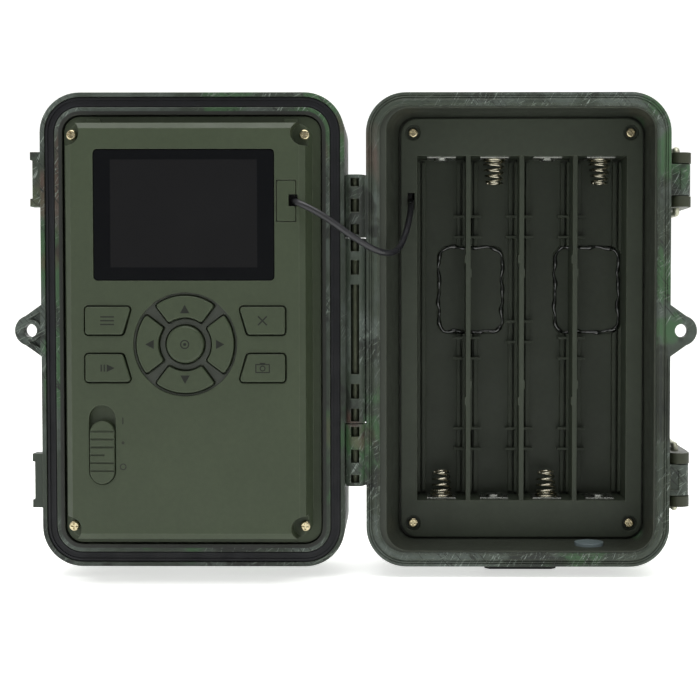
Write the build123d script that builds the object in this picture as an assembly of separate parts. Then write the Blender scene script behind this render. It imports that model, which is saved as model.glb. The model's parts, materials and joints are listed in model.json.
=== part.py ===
from build123d import *
import math
import os

# A clamshell trail camera standing open on its lower edge, in millimetres.
# Working frame: the vertical hinge axis is at x = 0, y = 0 and the case opens towards -Y.
# The camera half lies at x < 0 and the battery half at x > 0. z = 0 is the lowest point.
# Every part is moved along Y by SHIFT_Y when it is written, which centres the open case.

# ---------------------------------------------------------------- driving dimensions
HALF_W = 91.0            # width of one half of the case
CASE_H = 142.0           # height of the case
CORNER_R = 12.0          # corner radius of the case outline
EDGE_GAP = 3.2           # from the hinge axis to the nearest edge of either half
FOOT_H = 3.4             # how far the tripod foot stands below the case
RIM_Y = 0.15             # each rim stands this far behind the hinge axis
FRONT_DEPTH = 36.0       # depth of the camera half's shell
REAR_DEPTH = 40.0        # depth of the battery half's shell
SHELL_DRAFT = 1.2        # degrees
WALL = 2.6
FACE_WALL = 2.5
EXTRA = 0.5              # how far cutting tools run past the faces they open

HALF_X = EDGE_GAP + HALF_W / 2          # distance of each half's centre from the hinge axis
OUTER_X = EDGE_GAP + HALF_W             # outer side wall of each half
MID_Z = FOOT_H + CASE_H / 2
CAM_X = -HALF_X
BAT_X = HALF_X

# rim of the camera half, measured inwards from the outline
RIM_LIP = 1.3
GASKET_W = 3.1
FRONT_RIM = 6.7
GROOVE_DEPTH = 1.7
LEDGE = 1.5

# control panel and its raised plateau
PANEL_GAP = 0.4
FLANGE_FRONT = 1.15
FLANGE_BACK = 3.65
PLATEAU_W, PLATEAU_H = 71.6, 123.2      # at its foot
PLATEAU_FRONT = -13.0
PLATEAU_DRAFT = 4.4
PANEL_WALL = 2.0
PANEL_INNER = PLATEAU_FRONT + PANEL_WALL
BEVEL = 1.6
PANEL_SCREW_X, PANEL_SCREW_Z = 34.2, 57.6
SCREW_SEAT_Y = -6.0
SCREW_R, SCREW_HEAD_R, SCREW_HEAD_H = 1.0, 1.5, 1.3
SCREW_POCKET_R = 3.6

# display
WINDOW_W, WINDOW_H, WINDOW_R = 52.4, 37.9, 1.2
WINDOW_X, WINDOW_Z = -0.3, 33.9
WINDOW_T = 1.5
SCREEN_W, SCREEN_H = 48.0, 34.0

# keys
KEY_GAP = 0.45
KEY_PROUD = 0.7
KEY_BACK = -9.6
KEY_FLANGE = 0.8         # how far each key's foot reaches past its cap
DPAD_Z = -3.6
DPAD_R = 15.1
DPAD_DEPTH = 0.6
ARROW_IN, ARROW_OUT, ARROW_HALF_ANGLE = 7.8, 14.1, 37.0
OK_R = 5.45
SIDE_KEY_OUT, SIDE_KEY_WIDE, SIDE_KEY_NARROW = 29.0, 15.7, 18.2
SIDE_KEY_NEAR, SIDE_KEY_FAR = 2.85, 10.9    # distance of a side key's edges from the dial's centre line

# slide switch
SLOT_X, SLOT_Z = -24.3, -32.9
SLOT_W, SLOT_H = 7.8, 23.2
KNOB_W, KNOB_H = 7.2, 18.4

# cable cover on the panel
COVER_X, COVER_Z, COVER_W, COVER_H, COVER_T = 29.4, 37.9, 5.9, 12.2, 1.2

# boards and sockets behind the panel
KEY_BOARD_FRONT = -6.4
BOARD_POSTS = [(-24.0, 12.9), (24.0, 12.9), (-12.0, -24.0), (24.0, -24.0), (-12.0, -54.0), (24.5, -46.0)]
USB_X = 20.0
SOCKET_FRONT, SOCKET_BACK = -4.7, -1.9

# battery half; the wall beside the hinge slopes more, so the tray stands off centre
LIP_INSET, LIP_DEPTH = 3.9, 0.9
MOUTH_X, MOUTH_W, MOUTH_H, MOUTH_R = BAT_X + 0.55, 80.5, 132.8, 6.9
TRAY_X = BAT_X + 2.3
TRAY_FRONT = 20.15
TRAY_T = 2.0
TRAY_W, TRAY_H, TRAY_R = 75.4, 131.0, 5.0
TRAY_GAP = 0.7
SCREW_SINK, SCREW_SINK_R = 1.4, 2.4
TRAY_SCREW_X, TRAY_SCREW_Z = 34.0, 61.2
BAY_W, BAY_H = 15.26, 108.0
DIVIDER = 1.45
BAY_SIDE, BAY_END = 0.8, 1.7      # the walls round the four bays
BAY_PITCH = BAY_W + DIVIDER
BAY_FLOOR = 35.6
TRAY_BACK = 37.15
CELL_Y = TRAY_FRONT + 7.6
COVER_PLATES_X, COVER_PLATE_Z = (-15.6, 21.9), 12.2
COVER_PLATE_W, COVER_PLATE_H, COVER_PLATE_R = 21.4, 28.2, 3.5
WIRE_HOLE_X, WIRE_HOLE_Z, WIRE_HOLE_W, WIRE_HOLE_H = -34.6, 39.9, 2.2, 5.2
SPRING_COLUMNS = [(0, -1), (1, 1), (2, -1), (3, 1)]     # bay, and the end where its spring is
SPRING_H, SPRING_BASE_R, SPRING_TIP_R, SPRING_WIRE = 8.0, 3.2, 2.1, 0.8
CONTACT_T = 0.4

# hinge
BARREL_R = 2.85
PIN_R = 1.2
RUNNING = 0.05
HINGE_HALF, KNUCKLE_SPLIT = 46.4, 27.7
KNUCKLE_GAP = 0.3
LIP_X, LIP_FRONT, LIP_BACK = 2.0, 2.4, 3.6      # the ledge behind the other half's knuckles
MIDDLE_WINDOWS = [(23.6, 27.0), (16.7, 21.0), (-12.9, 13.8), (-20.2, -15.8), (-27.0, -23.2)]
UPPER_WINDOWS = [(42.8, 45.4), (35.3, 39.2), (28.6, 31.7)]
LOWER_WINDOWS = [(-31.6, -28.6), (-39.4, -35.4), (-45.4, -43.0)]

# padlock ears
EAR_X, EAR_R, EAR_BASE, EAR_T, EAR_HOLE_R = 97.5, 4.6, 8.45, 3.5, 2.0

# latches
LATCH_Z = 45.25
LATCH_PIVOT_X, LATCH_PIVOT_Y = OUTER_X + 3.7, 6.0
LATCH_PIN_R = 1.0
LEVER_IN, LEVER_OUT, LEVER_EYE_R = OUTER_X + 0.5, OUTER_X + 7.0, 3.1
LEVER_HALF, ARM_T = 8.15, 3.2
LEVER_END_Y = 27.0
BOSS_R, BOSS_HALF = 2.9, 4.7
BAIL_X, BAIL_Y, BAIL_R = OUTER_X + 3.4, 11.5, 1.05
BAIL_LEG_Z, BAIL_L = 9.6, 17.5
CATCH_OUT, CATCH_FRONT, CATCH_BACK, CATCH_TAB = 3.2, 1.0, 5.8, 2.4

# underside
TRIPOD_X, TRIPOD_Y = BAT_X + 1.5, 20.0
TRIPOD_HOLE_R = 2.55
JACK_X, JACK_Y, JACK_R, JACK_H = 71.3, 11.0, 4.45, 5.6

# camera face
BEZEL_T = 2.0
FACE_Y = RIM_Y + FRONT_DEPTH
IR_Z, IR_W, IR_H = 36.0, 62.0, 40.0
LENS_Z, LENS_R = 4.0, 12.0
PIR_Z, PIR_W, PIR_H = -26.0, 34.0, 24.0
SPEAKER_X, SPEAKER_Z = 13.0, -47.0
BOARD_FRONT = 14.0
BOARD_T = 1.6

# tree bracket on the back
BRACKET_BASE = 2.5
STRAP_GAP = 4.6
STRAP_BAR = 2.6
STRAP_BAR_X = 22.0
STRAP_SLOT_H = 30.0
BRACKET_SCREW_X, BRACKET_SCREW_Z = 8.0, 24.0
BACK_Y = RIM_Y + REAR_DEPTH

# power cable, from the header behind the panel to the terminal behind the tray face
CABLE_R = 0.95
CABLE_X, CABLE_Z = CAM_X + 31.4, MID_Z + 38.1
CABLE_END_X, CABLE_END_Y, CABLE_END_Z = TRAY_X + WIRE_HOLE_X, 25.0, MID_Z + WIRE_HOLE_Z
CABLE_ROUTE = [
    (CABLE_X, -8.0, CABLE_Z),
    (CABLE_X, -15.2, CABLE_Z),
    (-9.0, -14.8, 108.5),
    (0.5, -12.2, 101.5),
    (7.8, -8.4, 97.3),
    (12.6, -1.4, 97.6),
    (15.1, 6.8, 103.6),
    (16.4, 13.4, 110.8),
    (CABLE_END_X, 19.0, CABLE_END_Z),
    (CABLE_END_X, CABLE_END_Y, CABLE_END_Z),
]

FRONT_REACH = -PLATEAU_FRONT + 1.0
BACK_REACH = BACK_Y + BRACKET_BASE + STRAP_GAP + STRAP_BAR
SHIFT_Y = (FRONT_REACH - BACK_REACH) / 2


# ---------------------------------------------------------------- helpers
def block(x0, x1, y0, y1, z0, z1):
    """A box given by its limits."""
    centre = Pos((x0 + x1) / 2, (y0 + y1) / 2, (z0 + z1) / 2)
    return centre * Box(x1 - x0, y1 - y0, z1 - z0)


def outline(width, height, radius):
    return RectangleRounded(width, height, radius) if radius else Rectangle(width, height)


def facing(cx, cz, y):
    """A plane at depth y that faces the open front; its local axes are +X and +Z."""
    return Plane(origin=(cx, y, cz), x_dir=(1, 0, 0), z_dir=(0, -1, 0))


def raise_sketch(sketch, cx, cz, front, back, taper=0.0):
    """A sketch in XZ made solid between two depths, tapering towards the front."""
    return extrude(facing(cx, cz, back) * sketch, amount=back - front, taper=taper)


def plate(cx, cz, width, height, front, back, radius=0.0, taper=0.0):
    return raise_sketch(outline(width, height, radius), cx, cz, front, back, taper)


def sink(cx, cz, width, height, front, back, radius, taper):
    """A rounded rectangle that tapers towards the back."""
    plane = Plane(origin=(cx, front, cz), x_dir=(1, 0, 0), z_dir=(0, 1, 0))
    return extrude(plane * outline(width, height, radius), amount=back - front, taper=taper)


def disc(cx, cz, radius, front, back):
    return raise_sketch(Circle(radius), cx, cz, front, back)


def rod(x, y, z0, z1, radius):
    """A round bar along Z."""
    return Pos(x, y, (z0 + z1) / 2) * Cylinder(radius, z1 - z0)


def inset_plate(cx, inset, front, back):
    """The case outline, made smaller by inset on every side."""
    return plate(cx, MID_Z, HALF_W - 2 * inset, CASE_H - 2 * inset, front, back, CORNER_R - inset)


def ring(cx, inset_out, inset_in, front, back):
    """A band that follows the case outline, between two insets."""
    return inset_plate(cx, inset_out, front, back) - inset_plate(cx, inset_in, front - EXTRA, back + EXTRA)


def corners(dx, dz):
    return [(sx * dx, sz * dz) for sx in (-1, 1) for sz in (-1, 1)]


def box_at(x, z, half, front, back):
    """A square block about a point in XZ."""
    return block(x - half, x + half, front, back, z - half, z + half)


def back_edges(shape):
    return shape.faces().sort_by(Axis.Y)[-1].edges()


def front_edges(shape):
    return shape.faces().sort_by(Axis.Y)[0].edges()


def screw(cx, cz, seat, tip):
    """A pan-head cross-recess screw with its head in front of the seat."""
    head = disc(cx, cz, SCREW_HEAD_R, seat - SCREW_HEAD_H, seat)
    head = fillet(front_edges(head), 0.5)
    body = head + disc(cx, cz, SCREW_R, seat, tip)
    front = seat - SCREW_HEAD_H
    return body - cross(cx, cz, front - EXTRA, front + 0.7)


def cross(cx, cz, front, back):
    """The cross recess of a screw head."""
    long, narrow = 1.0, 0.25
    level = block(cx - long, cx + long, front, back, cz - narrow, cz + narrow)
    return level + block(cx - narrow, cx + narrow, front, back, cz - long, cz + long)


def screw_hole(cx, cz, seat, tip):
    return disc(cx, cz, SCREW_R + 0.1, seat, tip)


def padlock_ear(side):
    """An ear at mid height; side is -1 for the camera half and 1 for the battery half."""
    x0 = side * (OUTER_X - 1.0)
    tip = Pos(side * EAR_X, 0) * Circle(EAR_R)
    points = [(x0, -EAR_BASE), (x0, EAR_BASE), (side * (EAR_X + 1.5), EAR_R * 0.94),
              (side * (EAR_X + 1.5), -EAR_R * 0.94)]
    if side > 0:
        points.reverse()
    return raise_sketch(tip + Polygon(*points, align=None), 0, MID_Z, RIM_Y, RIM_Y + EAR_T)


def ear_pocket():
    """The pocket in the face of the camera half's ear, round the raised ring of its hole."""
    inner = Polygon((-(OUTER_X + 0.3), -5.4), (-(OUTER_X + 0.3), 5.4), (-(EAR_X + 1.2), 2.9),
                    (-(EAR_X + 1.2), -2.9), align=None)
    boss = Pos(-EAR_X, 0) * Circle(3.3)
    return raise_sketch(inner - boss, 0, MID_Z, RIM_Y - EXTRA, RIM_Y + 1.3)


def knuckle(side, z0, z1):
    """One hinge knuckle with the web that joins it to its shell."""
    body = rod(0, 0, z0, z1, BARREL_R)
    x_in, x_out = sorted((0, side * (EDGE_GAP + 0.6)))
    body += block(x_in, x_out, RIM_Y, BARREL_R, z0, z1)
    return body


def knuckle_ledge(side, z0, z1):
    """A hollow ledge on one shell that closes the gap behind the other shell's knuckle."""
    x_in, x_out = sorted((side * LIP_X, side * (EDGE_GAP + 0.6)))
    return block(x_in, x_out, LIP_FRONT, LIP_BACK, z0, z1) - rod(0, 0, z0, z1, BARREL_R + 0.2)


def hinge_windows(spans):
    """Openings on the front of the barrel that show the pin."""
    half = PIN_R + RUNNING
    return [block(-half, half, -BARREL_R - EXTRA, 0, MID_Z + low, MID_Z + high) for low, high in spans]


# ---------------------------------------------------------------- camera half
def front_shell():
    body = sink(CAM_X, MID_Z, HALF_W, CASE_H, RIM_Y, FACE_Y, CORNER_R, SHELL_DRAFT)
    body = fillet(back_edges(body), 5.0)
    opening = HALF_W - 2 * FRONT_RIM, CASE_H - 2 * FRONT_RIM
    body -= plate(CAM_X, MID_Z, *opening, RIM_Y - EXTRA, FLANGE_BACK, CORNER_R - FRONT_RIM)
    ledge = opening[0] - 2 * LEDGE, opening[1] - 2 * LEDGE
    body -= plate(CAM_X, MID_Z, *ledge, RIM_Y, 6.5, CORNER_R - FRONT_RIM - LEDGE)
    cavity = sink(CAM_X, MID_Z, HALF_W - 2 * WALL, CASE_H - 2 * WALL, 6.0, FACE_Y - FACE_WALL,
                  CORNER_R - WALL, SHELL_DRAFT)
    posts = [disc(CAM_X + dx, MID_Z + dz, 3.5, FLANGE_BACK, FACE_Y) for dx, dz in
             corners(PANEL_SCREW_X, PANEL_SCREW_Z)]
    posts += [disc(CAM_X + dx, MID_Z + dz, 2.4, BOARD_FRONT + BOARD_T, FACE_Y) for dx, dz in corners(24.0, 55.3)]
    posts += [disc(CAM_X + dx, MID_Z + IR_Z + dz, 2.0, 29.6, FACE_Y) for dx, dz in corners(33.5, 13.0)]
    posts += [disc(CAM_X + dx, MID_Z + PIR_Z, 2.0, 25.6, FACE_Y) for dx in (-20.0, 20.0)]
    body -= cavity
    for post in posts:
        body += post
    for dx, dz in corners(PANEL_SCREW_X, PANEL_SCREW_Z):
        body -= screw_hole(CAM_X + dx, MID_Z + dz, FLANGE_BACK - EXTRA, 14.0)
    body -= ring(CAM_X, RIM_LIP, RIM_LIP + GASKET_W, RIM_Y - EXTRA, RIM_Y + GROOVE_DEPTH)
    body -= plate(CAM_X, MID_Z + IR_Z, IR_W - 5, IR_H - 5, 30.0, FACE_Y + EXTRA, 6.0)
    body -= disc(CAM_X, MID_Z + LENS_Z, 8.0, 30.0, FACE_Y + EXTRA)
    body -= plate(CAM_X, MID_Z + PIR_Z, PIR_W - 5, PIR_H - 5, 30.0, FACE_Y + EXTRA, 2.0)
    for dx in (-22.0, 22.0):
        body -= disc(CAM_X + dx, MID_Z + LENS_Z, 2.6, 30.0, FACE_Y + EXTRA)
    for hole in grille_holes(30.0, FACE_Y + EXTRA):
        body -= hole
    for sign in (-1, 1):
        body += catch(sign)
    body += padlock_ear(-1)
    body -= ear_pocket()
    body -= disc(-EAR_X, MID_Z, EAR_HOLE_R, RIM_Y - EXTRA, RIM_Y + EAR_T + EXTRA)
    gap = KNUCKLE_GAP / 2
    body += knuckle(-1, MID_Z - KNUCKLE_SPLIT + gap, MID_Z + KNUCKLE_SPLIT - gap)
    body += knuckle_ledge(-1, MID_Z + KNUCKLE_SPLIT + gap, MID_Z + HINGE_HALF)
    body += knuckle_ledge(-1, MID_Z - HINGE_HALF, MID_Z - KNUCKLE_SPLIT - gap)
    body -= rod(0, 0, 0, 2 * MID_Z, PIN_R + RUNNING)
    for window in hinge_windows(MIDDLE_WINDOWS):
        body -= window
    return body


def catch(sign):
    """A latch catch on the outer wall, slightly hollow between two prouder end tabs."""
    z = MID_Z + sign * LATCH_Z
    half, tab = LEVER_HALF, CATCH_TAB
    body = block(-OUTER_X - CATCH_OUT + 0.7, -OUTER_X + 1.0, CATCH_FRONT, CATCH_BACK, z - half, z + half)
    for end in (-1, 1):
        z0, z1 = sorted((z + end * half, z + end * (half - tab)))
        body += block(-OUTER_X - CATCH_OUT, -OUTER_X + 1.0, CATCH_FRONT, CATCH_BACK, z0, z1)
    hollow = rod(-OUTER_X - CATCH_OUT - 0.5, 2.9, z - half + tab, z + half - tab, 1.4)
    return body - hollow


def grille_holes(front, back):
    holes = [disc(CAM_X + SPEAKER_X, MID_Z + SPEAKER_Z, 0.8, front, back)]
    for turn in range(6):
        angle = math.radians(60 * turn)
        holes.append(disc(CAM_X + SPEAKER_X + 3.2 * math.cos(angle), MID_Z + SPEAKER_Z + 3.2 * math.sin(angle),
                          0.8, front, back))
    holes.append(disc(CAM_X - SPEAKER_X, MID_Z + SPEAKER_Z, 0.8, front, back))
    return holes


def gasket():
    """A flat seal in the rim groove with two raised sealing lines."""
    low = RIM_Y + GROOVE_DEPTH
    body = ring(CAM_X, RIM_LIP + 0.1, RIM_LIP + GASKET_W - 0.1, RIM_Y + 0.75, low)
    for inset in (RIM_LIP + 0.35, RIM_LIP + GASKET_W - 0.95):
        body += ring(CAM_X, inset, inset + 0.6, RIM_Y + 0.35, RIM_Y + 0.8)
    return body


def control_panel():
    width, height = HALF_W - 2 * (FRONT_RIM + PANEL_GAP), CASE_H - 2 * (FRONT_RIM + PANEL_GAP)
    flange = plate(CAM_X, MID_Z, width, height, FLANGE_FRONT, FLANGE_BACK, CORNER_R - FRONT_RIM - PANEL_GAP)
    plateau = plate(CAM_X, MID_Z, PLATEAU_W, PLATEAU_H, PLATEAU_FRONT, FLANGE_FRONT, 4.0, PLATEAU_DRAFT)
    plateau = chamfer(front_edges(plateau), BEVEL)
    body = flange + plateau
    hollow = plate(CAM_X, MID_Z, PLATEAU_W - 2 * PANEL_WALL, PLATEAU_H - 2 * PANEL_WALL, PANEL_INNER,
                   FLANGE_FRONT, 2.2, PLATEAU_DRAFT)
    hollow += plate(CAM_X, MID_Z, PLATEAU_W - 2 * PANEL_WALL, PLATEAU_H - 2 * PANEL_WALL, FLANGE_FRONT,
                    FLANGE_BACK + EXTRA, 2.2)
    screws = corners(PANEL_SCREW_X, PANEL_SCREW_Z)
    for dx, dz in screws:
        hollow -= disc(CAM_X + dx, MID_Z + dz, 4.8, PANEL_INNER - 1, FLANGE_BACK + 1)
    for dx, dz in BOARD_POSTS:
        hollow -= disc(CAM_X + dx, MID_Z + dz, 1.8, PANEL_INNER - 1, KEY_BOARD_FRONT)
    body -= hollow
    for dx, dz in screws:
        body -= disc(CAM_X + dx, MID_Z + dz, SCREW_POCKET_R, PLATEAU_FRONT - EXTRA, SCREW_SEAT_Y)
        body -= disc(CAM_X + dx, MID_Z + dz, SCREW_R + 0.2, SCREW_SEAT_Y - EXTRA, FLANGE_BACK + EXTRA)
    # display seat and opening
    body -= plate(CAM_X + WINDOW_X, MID_Z + WINDOW_Z, WINDOW_W + 0.2, WINDOW_H + 0.2, PLATEAU_FRONT - EXTRA,
                  PLATEAU_FRONT + WINDOW_T, WINDOW_R)
    body -= plate(CAM_X + WINDOW_X, MID_Z + WINDOW_Z, SCREEN_W, SCREEN_H, PLATEAU_FRONT, PANEL_INNER + EXTRA)
    # dial recess and key openings
    body -= disc(CAM_X, MID_Z + DPAD_Z, DPAD_R, PLATEAU_FRONT - EXTRA, PLATEAU_FRONT + DPAD_DEPTH)
    for sketch in key_sketches(KEY_GAP).values():
        body -= raise_sketch(sketch, CAM_X, MID_Z + DPAD_Z, PLATEAU_FRONT - EXTRA, PANEL_INNER + EXTRA)
    # slide switch slot
    slot = Rot(0, 0, 90) * SlotOverall(SLOT_H, SLOT_W)
    body -= raise_sketch(slot, CAM_X + SLOT_X, MID_Z + SLOT_Z, PLATEAU_FRONT - EXTRA, PANEL_INNER + EXTRA)
    # cable cover seat and cable hole
    cx, cz = CAM_X + COVER_X, MID_Z + COVER_Z
    body -= plate(cx, cz, COVER_W, COVER_H, PLATEAU_FRONT - EXTRA, PLATEAU_FRONT + COVER_T, 0.5)
    body -= plate(CABLE_X, CABLE_Z, 2.6, 3.6, PLATEAU_FRONT, PANEL_INNER + EXTRA, 0.6)
    # card and data socket mouths in the plateau's lower wall
    low = MID_Z - PLATEAU_H / 2
    for x, half in ((CAM_X, 12.6), (CAM_X + USB_X, 4.0)):
        body -= block(x - half, x + half, SOCKET_FRONT, SOCKET_BACK, low - EXTRA, low + 3.5)
    # shallow ribs on the top flange
    for dx in (-31.5, 27.5):
        body += block(CAM_X + dx, CAM_X + dx + 4.0, FLANGE_FRONT - 0.5, FLANGE_FRONT + 0.2,
                      MID_Z + PLATEAU_H / 2 + 0.3, MID_Z + PLATEAU_H / 2 + 1.6)
    return body


def arrow_sketch(turn, gap):
    """One sector of the dial; turn is its direction in degrees and gap grows it on every side."""
    outer, inner = ARROW_OUT + gap, ARROW_IN - gap
    half = ARROW_HALF_ANGLE
    points = []
    for sign in (-1, 1):
        angle = math.radians(turn + sign * half)
        side = math.radians(turn + sign * (half + 90))
        shift_x, shift_z = gap * math.cos(side), gap * math.sin(side)
        points.append([(r * math.cos(angle) + shift_x, r * math.sin(angle) + shift_z)
                       for r in (inner - 2, outer + 4)])
    wedge = Polygon(points[0][0], points[0][1], points[1][1], points[1][0], align=None)
    band = Circle(outer) - Circle(inner)
    sector = band & wedge
    return fillet(sector.vertices(), 0.8)


def side_key_sketch(side, upper, gap):
    """A trapezoid key beside the dial; its inner edge leans away from the dial's middle line."""
    out = side * (SIDE_KEY_OUT + gap)
    near, far = SIDE_KEY_NEAR - gap, SIDE_KEY_FAR + gap
    wide, narrow = side * (SIDE_KEY_WIDE - gap * 1.2), side * (SIDE_KEY_NARROW - gap * 1.2)
    sign = 1 if upper else -1
    points = [(out, sign * near), (narrow, sign * near), (wide, sign * far), (out, sign * far)]
    if side * sign > 0:
        points.reverse()        # keeps the outline anticlockwise
    key = Polygon(*points, align=None)
    return fillet(key.vertices(), 0.9 + gap)


def key_sketches(gap):
    """Outlines of the nine keys about the dial's centre, grown by gap."""
    keys = {}
    for name, turn in (("key_up", 90), ("key_down", -90), ("key_left", 180), ("key_right", 0)):
        keys[name] = arrow_sketch(turn, gap)
    keys["key_ok"] = Circle(OK_R + gap)
    keys["key_menu"] = side_key_sketch(-1, True, gap)
    keys["key_play"] = side_key_sketch(-1, False, gap)
    keys["key_delete"] = side_key_sketch(1, True, gap)
    keys["key_photo"] = side_key_sketch(1, False, gap)
    return keys


def keys():
    """Push keys: a cap through the panel and a wider foot behind it that keeps it in."""
    caps = key_sketches(0.0)
    feet = key_sketches(KEY_FLANGE)
    made = {}
    for name, sketch in caps.items():
        proud = KEY_PROUD + (0.3 if name == "key_ok" else 0.0)
        cap = raise_sketch(sketch, CAM_X, MID_Z + DPAD_Z, PLATEAU_FRONT - proud, PANEL_INNER + 0.2)
        cap = fillet(front_edges(cap), 0.9 if name == "key_ok" else 0.35)
        foot = raise_sketch(feet[name], CAM_X, MID_Z + DPAD_Z, PANEL_INNER + 0.2, KEY_BACK)
        made[name] = cap + foot
    return made


def slide_knob():
    """The three-position slider at its lowest position, with grip grooves and a cover plate behind."""
    x, z = CAM_X + SLOT_X, MID_Z + SLOT_Z - (SLOT_H - KNOB_H) / 2 + 0.2
    front = PLATEAU_FRONT - KEY_PROUD
    cap = raise_sketch(Rot(0, 0, 90) * SlotOverall(KNOB_H, KNOB_W), x, z, front, PANEL_INNER + 0.2)
    cap = fillet(front_edges(cap), 0.4)
    for index, length in enumerate((7.4, 7.4, 7.4, 4.4, 7.4, 7.4)):
        groove_z = z + 6.2 - index * 2.3
        x0 = x - KNOB_W / 2 - 0.1
        cap -= block(x0, x0 + length, front - EXTRA, front + 0.45, groove_z - 0.3, groove_z + 0.3)
    skirt = plate(x, z + 0.9, 10.4, 28.4, PANEL_INNER + 0.2, PANEL_INNER + 1.0, 1.0)
    stem = block(x - 1.2, x + 1.2, PANEL_INNER + 1.0, PANEL_INNER + 3.0, z - 1.5, z + 1.5)
    return cap + skirt + stem


def slide_switch_body():
    x, z = CAM_X + SLOT_X, MID_Z + SLOT_Z
    front = PANEL_INNER + 1.2
    body = block(x - 3.5, x + 3.5, front, KEY_BOARD_FRONT, z - 9.0, z + 9.0)
    return body - block(x - 1.5, x + 1.5, front - EXTRA, front + 2.4, z - 4.5, z + 4.7)


def display_window():
    body = plate(CAM_X + WINDOW_X, MID_Z + WINDOW_Z, WINDOW_W, WINDOW_H, PLATEAU_FRONT + 0.05,
                 PLATEAU_FRONT + WINDOW_T, WINDOW_R)
    return chamfer(front_edges(body), 0.2)


def display_module():
    x, z = CAM_X + WINDOW_X, MID_Z + WINDOW_Z
    glass = plate(x, z, SCREEN_W - 0.4, SCREEN_H - 0.4, PLATEAU_FRONT + WINDOW_T, PANEL_INNER, 0.3)
    frame = plate(x, z, SCREEN_W + 4, SCREEN_H + 3, PANEL_INNER, PANEL_INNER + 3.2, 0.8)
    return glass + frame


def cable_cover():
    cx, cz = CAM_X + COVER_X, MID_Z + COVER_Z
    body = plate(cx, cz, COVER_W - 0.5, COVER_H - 0.5, PLATEAU_FRONT + 0.05, PLATEAU_FRONT + COVER_T, 0.4)
    notch = block(CABLE_X - 1.3, cx + COVER_W, PLATEAU_FRONT - EXTRA, PLATEAU_FRONT + COVER_T + EXTRA,
                  CABLE_Z - 1.7, CABLE_Z + 1.7)
    return body - notch


def key_board():
    return block(CAM_X - 28, CAM_X + 28, KEY_BOARD_FRONT, KEY_BOARD_FRONT + BOARD_T, MID_Z - 58.5, MID_Z + 14.9)


def tact_switches():
    """A small dome switch behind each key."""
    spots = [(0, 0), (0, 11), (0, -11), (11, 0), (-11, 0)] + corners(23, 7)
    body_front, button_front = -8.2, -8.9
    made = []
    for dx, dz in spots:
        x, z = CAM_X + dx, MID_Z + DPAD_Z + dz
        made.append(box_at(x, z, 2.25, body_front, KEY_BOARD_FRONT) + disc(x, z, 1.1, button_front, body_front))
    return Compound(children=made)


def card_socket():
    body = block(CAM_X - 14, CAM_X + 14, -4.8, -1.8, MID_Z - 58.8, MID_Z - 31.0)
    return body - block(CAM_X - 12.2, CAM_X + 12.2, -4.4, -2.2, MID_Z - 60, MID_Z - 34.0)


def usb_socket():
    x = CAM_X + USB_X
    body = block(x - 3.8, x + 3.8, -4.8, -2.0, MID_Z - 58.8, MID_Z - 52.5)
    return body - block(x - 3.3, x + 3.3, -4.4, -2.4, MID_Z - 60, MID_Z - 54.0)


def cable_connector():
    """The header behind the panel that the power cable plugs into."""
    return block(CABLE_X - 2.6, CABLE_X + 1.6, -8.0, -2.5, CABLE_Z - 4.0, CABLE_Z + 4.0)


def main_board():
    return block(CAM_X - 30, CAM_X + 30, BOARD_FRONT, BOARD_FRONT + BOARD_T, MID_Z - 58.0, MID_Z + 58.0)


def image_sensor():
    z = MID_Z + LENS_Z
    back = BOARD_FRONT + BOARD_T
    return block(CAM_X - 5, CAM_X + 5, back, back + 1.6, z - 5, z + 5)


def lens_barrel():
    """The lens holder on the sensor, with the threaded barrel and its glass front."""
    z = MID_Z + LENS_Z
    base = BOARD_FRONT + BOARD_T + 1.6
    body = block(CAM_X - 8, CAM_X + 8, base, base + 6, z - 8, z + 8)
    body += disc(CAM_X, z, 6.5, base + 6, FACE_Y - 0.6)
    body -= disc(CAM_X, z, 4.8, FACE_Y - 2.4, FACE_Y + EXTRA)
    dome = Pos(CAM_X, FACE_Y - 8.0, z) * Sphere(7.2)
    keep = disc(CAM_X, z, 4.8, FACE_Y - 3.0, FACE_Y - 0.6)
    return body + (dome & keep)


def lens_ring():
    z = MID_Z + LENS_Z
    body = disc(CAM_X, z, LENS_R - 0.1, FACE_Y, FACE_Y + BEZEL_T + 1.4)
    body = fillet(back_edges(body), 0.8)
    body -= disc(CAM_X, z, 8.6, FACE_Y + 1.0, FACE_Y + 5)
    return body - disc(CAM_X, z, 7.2, FACE_Y - EXTRA, FACE_Y + 5)


def lens_window():
    return disc(CAM_X, MID_Z + LENS_Z, 8.5, FACE_Y + 1.0, FACE_Y + 2.2)


def front_bezel():
    body = plate(CAM_X, MID_Z, 72.0, 122.0, FACE_Y, FACE_Y + BEZEL_T, 10.0)
    body = fillet(back_edges(body), 0.8)
    body -= plate(CAM_X, MID_Z + IR_Z, IR_W + 0.2, IR_H + 0.2, FACE_Y - EXTRA, FACE_Y + 5, 7.1)
    body -= disc(CAM_X, MID_Z + LENS_Z, LENS_R, FACE_Y - EXTRA, FACE_Y + 5)
    body -= plate(CAM_X, MID_Z + PIR_Z, PIR_W + 0.2, PIR_H + 0.2, FACE_Y - EXTRA, FACE_Y + 5, 3.1)
    for dx in (-22.0, 22.0):
        body -= disc(CAM_X + dx, MID_Z + LENS_Z, 2.6, FACE_Y - EXTRA, FACE_Y + 5)
    for hole in grille_holes(FACE_Y - EXTRA, FACE_Y + 5):
        body -= hole
    return body


def ir_window():
    body = plate(CAM_X, MID_Z + IR_Z, IR_W, IR_H, FACE_Y, FACE_Y + BEZEL_T - 0.3, 7.0)
    return fillet(back_edges(body), 0.3)


def ir_led_board():
    z = MID_Z + IR_Z
    return block(CAM_X - 35.5, CAM_X + 35.5, 28.0, 29.6, z - 16, z + 16)


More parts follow.
